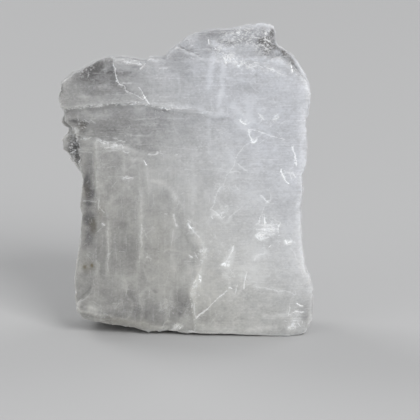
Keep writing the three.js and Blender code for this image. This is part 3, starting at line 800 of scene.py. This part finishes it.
# How drawn lines waver: how far apart the bends are, how far they stray, and their seed.
WAVERS = ((1.1, 0.12, 7), (0.4, 0.07, 27))
WAVER_DEPTH = 4  # how far into the slab a bend stays the same

# Where short marks are strewn, as the lower left and the upper right corner, and how many.
NICK_FIELD = ((-15, 1), (18.5, 46))
LEVEL_FIELD = ((-14, 24), (19, 46))
UPRIGHT_FIELD = ((-15, 2), (6, 26))
NICKS = 260
STREAKS = 160
NICK_TURNS = (0, 0, 0, 90, 90, 48, -52)
STROKE_TURNS = (0, 0, 90, 45, -45)
MOST_STROKES = 9  # at one spot of flakes


def wandering(p):
    """The (u, v) of each point, moved a little so that drawn lines waver."""
    places = p[:, :2]
    for spacing, stray, seed in WAVERS:
        size = (spacing, spacing, WAVER_DEPTH)
        places = places + stray * np.stack((noise(p, size, seed), noise(p, size, seed + 1)), axis=1)
    return places


def stroke(middle, length, degrees):
    """A short straight line."""
    reach = 0.5 * length * np.array((math.cos(math.radians(degrees)), math.sin(math.radians(degrees))))
    return (middle - reach, middle + reach)


def scattered_nicks():
    """Short pale nicks all over the face, with level streaks above and upright ones at the left."""
    draw = np.random.default_rng(7)
    nicks = []
    for _ in range(NICKS):
        middle = draw.uniform(*NICK_FIELD)
        degrees = draw.choice(NICK_TURNS) + draw.normal(0, 8)
        line = stroke(middle, draw.uniform(0.2, 1.6), degrees)
        nicks.append((line, 0.0, draw.uniform(0.08, 0.32)))
    for _ in range(STREAKS):
        level = stroke(draw.uniform(*LEVEL_FIELD), draw.uniform(1, 6), draw.normal(0, 2))
        upright = stroke(draw.uniform(*UPRIGHT_FIELD), draw.uniform(1, 5), 90 + draw.normal(0, 2))
        nicks.append((level, 0.0, draw.uniform(0.1, 0.3)))
        nicks.append((upright, 0.0, draw.uniform(0.06, 0.17)))
    return nicks


def flake_strokes():
    """The broken edges of the small flakes: short bright strokes, partly painted glints, that crowd their
    spots.
    """
    draw = np.random.default_rng(11)
    strokes = []
    for u, v, wide, tall, turn, strength in FLAKES:
        wanted = int(3 * wide * tall * strength) + 2
        for _ in range(min(wanted, MOST_STROKES)):
            place = np.array((u, v)) + draw.normal(0, 0.45, 2) * (wide, tall)
            degrees = turn + draw.choice(STROKE_TURNS) + draw.normal(0, 14)
            line = stroke(place, 0.1 + draw.exponential(0.25), degrees)
            strokes.append((line, draw.uniform(0, 0.08), strength * draw.uniform(0.2, 1.0)))
    return strokes


def over_line(at, line):
    """The second coordinate of a drawn line where its first is at."""
    return np.interp(at, *zip(*line))


# ---------------------------------------------------------------- the surface

# Depths of the relief.
SWELL = 0.07  # slow swells of the front face
RIPPLE = 0.012  # finer swells on them
STRIA = 0.004  # fine level lines
GROOVE = 0.03  # an open crack
FLAKE = 0.12  # a small break on the front face
CHIP = 0.14  # a chip along an edge
LUMP = 0.5  # a grain of the lumps on the left
BLOCK = 0.25  # a large break of the sides, towards the back
CHUNK = 0.15  # a small break of the sides
TERRACE = 0.3  # a wide step of the back
PLATE = 0.1  # a smaller step on it
FRONT_WEAR = 0.06  # how far a side is set back, so that its relief stays in the box
SIDE_WEAR = 0.1
BACK_WEAR = 0.14

LUMPS = ((-17.4, 28.8), (2.6, 5.4))  # middle and radii of the granular lumps


def facing_front(surface, low=0.75, high=0.95):
    """1 on the broad front face and its ledges, and 0 on the sides and the back."""
    return ramp(surface.normals[:, 2], low, high) * ramp(surface.points[:, 2], FRONT - 3, FRONT - 2.4)


def calm_front(surface):
    """Evens out the front face and the drawn ledges, before they are worked."""
    ledges = lines(surface.points[:, :2], (*LEDGES, FADED_LEDGE))
    ledges = ledges * ramp(surface.points[:, 2], FRONT - 2, FRONT - 1.5)
    surface.smooth(0.5 * np.maximum(facing_front(surface, 0.35, 0.6), ledges), SMOOTHING)


def front_relief(p):
    """Swells, level striae, crack grooves and the breaks of small flakes."""
    places = wandering(p)
    broken = np.clip(patches(places, FLAKES), 0, 1)
    swell = SWELL * clouds(p, 8, 3, 2) + RIPPLE * clouds(p, 1.6, 33, 3)
    striae = STRIA * noise(p, (5, 0.45, 9), 1) + STRIA * noise(p, (3, 0.8, 9), 2)
    grooves = GROOVE * lines(places, CRACKS)
    flakes = FLAKE * broken * facets(p, (0.8, 0.65, 0.8), 41)
    return swell + striae - grooves + flakes - FRONT_WEAR


def side_relief(p):
    """Blocky breaks, the large ones only towards the back."""
    deep = ramp(p[:, 2], 1.0, -2.5)
    large = facets(p, (4.2, 3.4, 2.6), 51, slope=0.6)
    small = facets(p, (1.4, 1.1, 1.2), 61)
    return deep * (BLOCK * large - SIDE_WEAR) + CHUNK * small


def back_relief(p):
    """Wide terraces with smaller plates on them."""
    terraces = facets(p, (9, 7, 9), 71, slope=0.1)
    plates = facets(p, (3.4, 2.2, 3.4), 76, slope=0.2)
    return TERRACE * terraces + PLATE * plates - BACK_WEAR


def work_surface(surface):
    """Gives the smooth slab the relief of each side, its chips and its lumps, all but the flat seat."""
    p = surface.points
    height = p[:, 1] * math.cos(LEAN) + (p[:, 2] - FRONT) * math.sin(LEAN)
    free = ramp(height, SEAT, SEAT_TOP)
    facing = facing_front(surface)
    backing = ramp(surface.normals[:, 2], -0.75, -0.95)
    side = 1 - np.maximum(facing, backing)
    edge = ramp(np.abs(surface.sharpness(3)), 0.01, 0.05)
    chips = CHIP * edge * facets(p, (0.7, 0.6, 0.6), 81)
    lumps = LUMP * patch(p[:, :2], *LUMPS) * facets(p, (1.1, 0.9, 1.0), 91)
    lobes = patches(p[:, :2], LOBES) * ramp(p[:, 2], 0, 4)
    out = facing * front_relief(p)
    out += side * side_relief(p)
    out += backing * back_relief(p)
    surface.push((out + chips + lumps + lobes) * free)


# ---------------------------------------------------------------- the marks that the material reads

# How grey the milk is, with painted shade and painted light included: the sum is 0 where it is white and 1
# where it is smoke.
LEFT_GREY_AND_SHADE = 0.42  # towards the left of the face: partly the crystal's smokier left, partly painted shade away from the light on the right
FOOT_GREY_AND_SHADE = 0.18  # towards its foot: partly the crystal's own tone, partly painted shade below the light from above
FACE_GREY = 0.10  # all over it
BAND_PAINTED_SHADE = 0.12  # painted shade in the recessed band between the two ledges
PANEL_GREY = 0.08  # in the panel at the lower left
OFF_FACE_GREY = 0.10  # on the sides and the back
OFF_FACE_PATCHES = 0.06
# painted shade on the upward faces of the sides and the back
TOP_PAINTED_SHADE = 0.2
PATCHES_GREY = 0.10
RIM_PAINTED_SHADE = 0.28  # painted shade on the edges that turn to the light, against their bright band
VEIL_WHITE = 0.28  # the rest takes grey away
# painted light on the downward faces near the foot, against their shade
UNDERSIDE_PAINTED_LIGHT = 0.35
HEALED_WHITE = 0.3
HEALED_LESS = 0.15  # a healed crack shows less on the face

# The other marks.
# The milk grows cooler and lighter towards the upper right: partly its own tint, partly painted light falling
# from there.
COOL_SHARE = 0.38  # share of the cool white in the milk, where u is 0 and v is COOL_HEIGHT
COOL_HEIGHT = 20
COOL_LIGHT_ACROSS = 0.03  # how much that grows with each millimetre to the right, partly as painted light from that side
COOL_LIGHT_UP = 0.028  # and with each millimetre up, partly as painted light from above
LEVEL_UP = 0.7  # how far the grain is level in the upper part; it is wholly level on the right
PROUD = 0.05  # an edge that stands this far proud has its full frost and painted highlight
PROUD_RIM_FROST_AND_HIGHLIGHT = 0.2  # how white such an edge is: frost of a chipped edge and a painted highlight
TURNED_RIM_HIGHLIGHT = 0.12  # how white the surfaces are that turn away from the front: a painted rim highlight
# frost on the ledges' step faces, and painted light there against their shade
LEDGE_FROST_AND_LIGHT = 0.7
OFF_FACE_FLAKES = 0.15  # how broken the sides and the back are


def face_grey_and_shade(p, places):
    """How grey the milk is over the broad face, with painted shade in it."""
    u, v = p[:, 0], p[:, 1]
    upper = over_line(u, UPPER_LEDGE)
    lower = over_line(u, LOWER_LEDGE)
    rising = [(at_v, at_u) for at_u, at_v in PANEL_EDGE[::-1]]
    panel_edge = over_line(v, rising)
    # painted shade in the recessed band under the upper ledge
    shaded_band = ramp(v, upper + 0.05, upper - 0.2) * ramp(v, lower - 0.3, lower + 0.3) * ramp(u, 9, 1)
    panel = ramp(u, panel_edge + 0.3, panel_edge - 0.4) * ramp(v, 25, 19)
    # darker towards the left and the foot: partly the milk's own tone, partly painted shade of the light from
    # the upper right
    whole = LEFT_GREY_AND_SHADE * ramp(u, 12, -16) + FOOT_GREY_AND_SHADE * ramp(v, 10, 0) + FACE_GREY
    areas = whole + BAND_PAINTED_SHADE * shaded_band + PANEL_GREY * panel
    return areas + patches(places, SMOKE) - VEIL_WHITE * lines(places, VEILS)


def milk_grey_and_shade(p, n, places, front, turned):
    """How grey the milk is on every side, with painted shade and painted light in it."""
    patchy = clouds(p, 3.2, 21, 3)
    healed = ramp(np.abs(clouds(p, 5, 91, 2)), 0.07, 0) * ramp(clouds(p, 4, 95, 2), -0.1, 0.5)
    # downward faces near the foot, lightened with painted light against their shade
    under = ramp(n[:, 1], -0.15, -0.5) * ramp(p[:, 1], 7, 4)
    return (
        front * (face_grey_and_shade(p, places) - UNDERSIDE_PAINTED_LIGHT * under)
        # the sides and the back, with painted shade on their upward faces
        + (1 - front) * (OFF_FACE_GREY + OFF_FACE_PATCHES * patchy + TOP_PAINTED_SHADE * ramp(n[:, 1], 0.3, 0.7))
        + PATCHES_GREY * patchy
        # painted shade on turned edges that face right and up, towards the lamps
        + RIM_PAINTED_SHADE * turned * ramp(n[:, 0] + n[:, 1], 0.2, 0.8)
        - (HEALED_WHITE - HEALED_LESS * front) * healed
    )


def paint_marks(surface):
    """The strengths that the material reads at each vertex, by name.

    The crack mark is the distance to the nearest thin line, in half widths, and strength is that line's
    own. The grain is level where lined is 1 and upright where it is 0. Layered marks the sides, and hidden
    all but the face.
    """
    p = surface.points
    n = surface.normals
    u, v = p[:, 0], p[:, 1]
    places = wandering(p)
    front = ramp(p[:, 2], -2.5, 0.5) * ramp(n[:, 2], 0.1, 0.5)
    turned = ramp(n[:, 2], 0.9, 0.6) * ramp(n[:, 2], 0.0, 0.3) * ramp(p[:, 2], FRONT - 3.5, FRONT - 2)
    edge = np.clip(surface.sharpness(5) / PROUD, 0, 1)
    unfaded = 1 - lines(p[:, :2], (FADED_LEDGE,))
    crack, strength = crisp_lines(places, (*CRACKS, *flake_strokes(), *scattered_nicks()))
    return {
        # milk greyness with painted shade and painted light in it
        "haze_shade_and_light": milk_grey_and_shade(p, n, places, front, turned),
        "crack": crack,
        "strength": front * strength,
        "flake": front * np.clip(patches(places, FLAKES), 0, 1) + (1 - front) * OFF_FACE_FLAKES,
        "white": front * patches(places, WHITE),
        "stain": front * patches(places, STAINS),
        "clear": front * patches(places, CLEAR),
        "layered": ramp(np.abs(n[:, 2]), 0.8, 0.5),
        "hidden": 1 - front,
        # cooler, lighter milk towards the upper right, partly painted light
        "cool_tint_and_light": COOL_SHARE + COOL_LIGHT_ACROSS * u + COOL_LIGHT_UP * (v - COOL_HEIGHT),
        "lined": np.clip(LEVEL_UP * ramp(v, 22, 34) + ramp(u, 2, 8), 0, 1),
        # painted rim highlight where the surface turns away, frost and painted highlight on proud edges
        "rim_frost_and_highlight": unfaded * (TURNED_RIM_HIGHLIGHT * turned + PROUD_RIM_FROST_AND_HIGHLIGHT * edge * ramp(n[:, 2], 0.8, 0.5)),
        # frost and painted light on the step faces of the ledges
        "ledge": LEDGE_FROST_AND_LIGHT * front * lines(p[:, :2], LEDGES) * ramp(n[:, 2], 0.97, 0.85),
    }


def keep_in_box(mesh):
    """Holds every vertex inside the CAD solid's box."""
    low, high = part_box("cryolite")
    co = np.empty(len(mesh.vertices) * 3)
    mesh.vertices.foreach_get("co", co)
    co = np.clip(co.reshape(-1, 3), np.array(low), np.array(high))
    mesh.vertices.foreach_set("co", co.ravel())
    mesh.update()


def make_crystal(cad):
    """The crystal: a fine mesh on the CAD solid's shape, worked, marked and put back in its place."""
    solid = merged_copy(cad)
    even = remeshed(solid)
    snap(even, solid)
    mesh = bpy.data.meshes.new("cryolite_crystal")
    even.to_mesh(mesh)
    even.free()
    solid.free()
    surface = Surface(mesh)
    calm_front(surface)
    work_surface(surface)
    for name, values in paint_marks(surface).items():
        mesh.attributes.new(name, "FLOAT", "POINT").data.foreach_set("value", values.astype(np.float32))
    mesh.transform(FROM_SLAB)
    keep_in_box(mesh)
    mesh.shade_smooth()
    mesh.set_sharp_from_angle(angle=SHARP)
    return placed("cryolite_crystal", mesh)


# ---------------------------------------------------------------- materials


class Value:
    """A shader value. Arithmetic on it adds Math nodes."""

    def __init__(self, paint, socket):
        self.paint = paint
        self.socket = socket

    def maths(self, operation, first, second=0.0):
        return self.paint.node("Math", {"operation": operation}, {0: first, 1: second})

    def __add__(self, other):
        return self.maths("ADD", self, other)

    def __sub__(self, other):
        return self.maths("SUBTRACT", self, other)

    def __mul__(self, other):
        return self.maths("MULTIPLY", self, other)

    def __pow__(self, other):
        return self.maths("POWER", self, other)

    def __rsub__(self, other):
        return self.maths("SUBTRACT", other, self)

    __radd__ = __add__
    __rmul__ = __mul__

    def held(self):
        """The value kept from 0 to 1."""
        return self.paint.node("Math", {"operation": "ADD", "use_clamp": True}, {0: self, 1: 0.0})

    def size(self):
        """The value without its sign."""
        return self.maths("ABSOLUTE", self)

    def eased(self, low, high):
        """0 below low and 1 above high, eased between them."""
        return self.paint.node(
            "MapRange",
            {"interpolation_type": "SMOOTHSTEP"},
            {"Value": self, "From Min": low, "From Max": high, "To Min": 0.0, "To Max": 1.0},
        )


class Paint:
    """A material's node tree, and the ways of adding to it."""

    def __init__(self, name):
        self.material = bpy.data.materials.new(name)
        self.material.use_nodes = True
        self.tree = self.material.node_tree
        self.tree.nodes.clear()

    def node(self, kind, settings=None, inputs=None, output=0):
        """A node of that kind with its settings, its inputs and the value of one of its outputs."""
        made = self.tree.nodes.new("ShaderNode" + kind)
        for name, setting in (settings or {}).items():
            setattr(made, name, setting)
        for name, value in (inputs or {}).items():
            if isinstance(value, Value):
                self.tree.links.new(value.socket, made.inputs[name])
            else:
                made.inputs[name].default_value = value
        return Value(self, made.outputs[output])

    def slab_place(self, scale):
        """Object coordinates as (u, -w, v) in millimetres, times a scale along each."""
        place = self.node("TexCoord", output="Object")
        turned = self.node("Mapping", inputs={"Vector": place, "Rotation": (LEAN, 0, 0)})
        return self.node("Mapping", inputs={"Vector": turned, "Scale": [k / MM for k in scale]})

    def noise(self, scale, detail, distortion=0.0):
        """Noise with that many swells to a millimetre along u, w and v, about 0."""
        texture = {"Vector": self.slab_place(scale), "Scale": 1.0, "Detail": detail, "Distortion": distortion}
        return self.node("TexNoise", inputs=texture) - 0.5

    def grains(self, scale):
        """An even shade for each of many broken grains, with that many to a millimetre, about 0."""
        place = self.slab_place(scale)
        wobble = self.node("TexNoise", inputs={"Vector": place, "Scale": 0.7, "Detail": 2.0}, output="Color")
        moved = self.node("VectorMath", {"operation": "ADD"}, {0: place, 1: wobble})
        settings = {"distance": "CHEBYCHEV"}
        return self.node("TexVoronoi", settings, {"Vector": moved, "Scale": 1.0}, output="Color") - 0.5

    def parting(self, scale, joint):
        """1 on the flat joints between uneven blocks, with that many blocks to a millimetre.

        The joint is how wide they are, as a share of a block.
        """
        settings = {"distance": "CHEBYCHEV"}
        place = self.slab_place(scale)
        nearest, second = (
            self.node("TexVoronoi", settings | {"feature": feature}, {"Vector": place, "Scale": 1.0})
            for feature in ("F1", "F2")
        )
        return 1 - (second - nearest).eased(0.0, joint)

    def mark(self, name):
        """One of the strengths that the mesh carries."""
        return self.node("Attribute", {"attribute_name": name}, output="Fac")

    def mix(self, share, first, second):
        """The first colour, and the second where share is 1."""
        settings = {"data_type": "RGBA", "clamp_factor": True}
        return self.node("Mix", settings, {0: share, 6: first, 7: second}, output=2)

    def finish(self, surface, volume=None):
        """The material with that surface, and what fills it."""
        out = self.tree.nodes.new("ShaderNodeOutputMaterial")
        self.tree.links.new(surface.socket, out.inputs["Surface"])
        if volume:
            self.tree.links.new(volume.socket, out.inputs["Volume"])
        return self.material


# The cool milk is also the lighter one, and partly stands for painted light on the upper right.
MILK_COOL = (0.560, 0.572, 0.600, 1)
MILK_WARM = (0.545, 0.543, 0.515, 1)
SMOKE_GREY = (0.130, 0.128, 0.128, 1)
OLIVE = (0.170, 0.150, 0.105, 1)
# white of frosted breaks, also used for painted highlights and glints
FROST_AND_HIGHLIGHT_WHITE = (0.90, 0.91, 0.92, 1)
CRYOLITE_IOR = 1.338
MILK_DEPTH = 4.0 * MM  # how far light wanders in the milk
MILK_SPREAD = (1.0, 0.96, 0.92)  # of red, green and blue, as shares of that
COAT = 0.3
COAT_ROUGHNESS = 0.2
CLEAR_COLOUR = (0.9, 0.9, 0.9, 1)
CLEAR_ROUGHNESS = 0.12
INNER_SMOKE = (0.55, 0.55, 0.57, 1)
INNER_DENSITY = 180.0
RELIEF_HEIGHT = 0.06 * MM
RELIEF_STRENGTH = 0.5

# The factors in the expressions below are how strongly each texture or mark counts.


def crystal_textures(paint):
    """The grain of the crystal: slow and fine noise, broken grains, and level and upright streaks."""
    crumbs = paint.noise((3.0, 3.0, 3.6), detail=3.0)
    grains = paint.grains((3.2, 3.2, 4.4))
    return SimpleNamespace(
        mottle=paint.noise((0.9, 0.9, 1.1), detail=3.0, distortion=0.4),
        crumbs=crumbs,
        rough=0.6 * grains + 0.9 * crumbs,
        level=paint.noise((0.3, 0.5, 5.2), detail=5.0),
        upright=paint.noise((2.4, 0.5, 0.22), detail=4.0),
        lined=paint.mark("lined"),
        flake=paint.mark("flake"),
        hidden=paint.mark("hidden"),
    )


def crystal_grey_and_shade(paint, grain, ledge):
    """The milk's greyness with the crystal's grain in it, and with painted shade and painted light."""
    fine = 0.28 * grain.mottle + 0.34 * grain.level * grain.lined + 0.16 * grain.upright * (1 - grain.lined)
    coarse = grain.rough * (0.20 + 0.12 * grain.lined + 0.8 * grain.flake)
    grey = paint.mark("haze_shade_and_light") + fine + coarse
    return grey - 0.4 * paint.mark("white") - 0.4 * ledge


def crystal_frost_and_highlights(paint, grain, ledge, grey):
    """How white each place is: frosted fresh breaks in joints, cracks, flakes, rims and ledges, and the
    whitest milk; the white flakes and cracks are partly painted glints, the rims and ledges partly painted
    highlights.
    """
    joints = paint.parting((0.12, 0.20, 0.16), 0.035) * (grain.mottle + 0.05).eased(0.0, 0.12)
    joints = joints * (0.05 + 0.15 * grain.hidden)
    # white specks of broken flakes, partly painted glints
    flecks_and_glints = (grain.rough + 0.22 * grain.flake).eased(0.14, 0.30) * grain.flake
    cracks = 1 - (paint.mark("crack").size() + 3.0 * grain.rough).eased(0.6, 1.5)
    cracks = cracks * paint.mark("strength") ** 1.3 * (0.85 + 1.2 * grain.mottle + 1.4 * grain.crumbs)
    # painted highlight on rims and on the ledges' step faces, with frost of chipped edges
    edges = (0.5 * paint.mark("rim_frost_and_highlight") + 0.3 * ledge) * (0.6 + 3.0 * grain.rough)
    whitest = (0 - grey).held()
    return (joints + cracks + 0.6 * flecks_and_glints + edges + 0.6 * whitest).held()


def crystal_colour(paint, grain, grey, frost_and_highlights):
    """Milk, warm below and bluish above and partly lit with painted light, that turns to smoke, stains,
    frosted breaks and painted highlights.
    """
    # warm to cool milk, partly painted light towards the upper right
    milk = paint.mix((grain.mottle * 0.3 + paint.mark("cool_tint_and_light")).held(), MILK_WARM, MILK_COOL)
    body = paint.mix(grey.held(), milk, SMOKE_GREY)
    body = paint.mix(paint.mark("stain") * (0.8 + 1.2 * grain.crumbs), body, OLIVE)
    return paint.mix(frost_and_highlights, body, FROST_AND_HIGHLIGHT_WHITE)


def crystal_relief(paint, grain):
    """Relief too fine for the mesh: striae, grit and the layers of the sides."""
    layers = paint.noise((0.12, 3.0, 0.12), detail=4.0) * paint.mark("layered")
    grit = grain.rough * (0.3 + grain.flake)
    height = 0.35 * grain.level * grain.lined + grit + 0.3 * grain.mottle + 1.2 * layers
    inputs = {"Strength": RELIEF_STRENGTH, "Distance": RELIEF_HEIGHT, "Height": height}
    return paint.node("Bump", inputs=inputs)


def milky_shader(paint, grain, frost_and_highlights, colour, relief):
    """The milky body, in which light wanders, under a faint gloss."""
    roughness = 0.40 + 0.3 * grain.mottle - 0.15 * grain.flake + 0.10 * frost_and_highlights + 0.12 * grain.hidden
    return paint.node(
        "BsdfPrincipled",
        {"subsurface_method": "RANDOM_WALK"},
        {
            "Base Color": colour,
            "Roughness": roughness.held(),
            "IOR": CRYOLITE_IOR,
            "Subsurface Weight": 1.0,
            "Subsurface Radius": MILK_SPREAD,
            "Subsurface Scale": MILK_DEPTH,
            "Coat Weight": COAT,
            "Coat Roughness": COAT_ROUGHNESS,
            "Coat IOR": CRYOLITE_IOR,
            "Normal": relief,
        },
    )


def glassy_shader(paint, relief):
    """The clear crystal of thin edges."""
    return paint.node(
        "BsdfPrincipled",
        inputs={
            "Base Color": CLEAR_COLOUR,
            "Roughness": CLEAR_ROUGHNESS,
            "IOR": CRYOLITE_IOR,
            "Transmission Weight": 1.0,
            "Normal": relief,
        },
    )


def crystal_material():
    """Milky crystal with smoke, frosted breaks, painted shade and painted highlights, clear at some thin
    edges.
    """
    paint = Paint("milky_cryolite")
    grain = crystal_textures(paint)
    # frost and painted light on the ledges' step faces
    ledge = paint.mark("ledge") * (0.6 + 3.2 * grain.rough)
    grey = crystal_grey_and_shade(paint, grain, ledge)
    frost_and_highlights = crystal_frost_and_highlights(paint, grain, ledge, grey)
    colour = crystal_colour(paint, grain, grey, frost_and_highlights)
    relief = crystal_relief(paint, grain)
    milky = milky_shader(paint, grain, frost_and_highlights, colour, relief)
    glassy = glassy_shader(paint, relief)
    see_through = (paint.mark("clear") * (0.8 + 1.6 * grain.crumbs)).held()
    surface = paint.node("MixShader", inputs={0: see_through, 1: milky, 2: glassy})
    inside = paint.node("VolumeAbsorption", inputs={"Color": INNER_SMOKE, "Density": INNER_DENSITY})
    return paint.finish(surface, inside)


def floor_material():
    paint = Paint("pale_floor")
    inputs = {"Base Color": FLOOR_GREY, "Roughness": FLOOR_ROUGHNESS}
    return paint.finish(paint.node("BsdfPrincipled", inputs=inputs))


# ---------------------------------------------------------------- the studio


def add_floor():
    sheet = bmesh.new()
    bmesh.ops.create_grid(sheet, x_segments=1, y_segments=1, size=FLOOR_REACH)
    mesh = bpy.data.meshes.new("floor")
    sheet.to_mesh(mesh)
    sheet.free()
    mesh.materials.append(floor_material())
    floor = placed("floor", mesh)


def add_softbox(name, place, side, power, aim):
    """A square light that looks at the aim."""
    light = bpy.data.lights.new(name, "AREA")
    light.shape = "SQUARE"
    light.size = side
    light.energy = power
    lamp = placed(name, light)
    lamp.location = place
    lamp.rotation_euler = (aim - Vector(place)).to_track_quat("-Z", "Y").to_euler()


def add_camera(aim):
    """The camera in front of the face, a little above it."""
    camera = bpy.data.cameras.new("camera")
    camera.sensor_width = SENSOR
    camera.lens = SENSOR * VIEW_DISTANCE / VIEW_WIDTH
    camera.clip_start = VIEW_NEAREST
    eye = placed("camera", camera)
    back = Vector((0, -math.cos(VIEW_ELEVATION), math.sin(VIEW_ELEVATION)))
    eye.location = aim + VIEW_DISTANCE * back
    eye.rotation_euler = (-back).to_track_quat("-Z", "Y").to_euler()
    bpy.context.scene.camera = eye


def light_world():
    """Even light from all round, and colours shown as they are."""
    world = bpy.data.worlds.new("studio")
    world.use_nodes = True
    sky = world.node_tree.nodes["Background"]
    sky.inputs["Color"].default_value = SKY_COLOUR
    sky.inputs["Strength"].default_value = SKY_STRENGTH
    bpy.context.scene.world = world
    bpy.context.scene.view_settings.view_transform = "Standard"


crystal = make_crystal(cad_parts["cryolite"])
crystal.data.materials.append(crystal_material())
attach(crystal, "root")
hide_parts("cryolite")

aim = FROM_SLAB @ Vector(VIEW_CENTRE)
add_floor()
for softbox in SOFTBOXES:
    add_softbox(*softbox, aim)
light_world()
add_camera(aim)
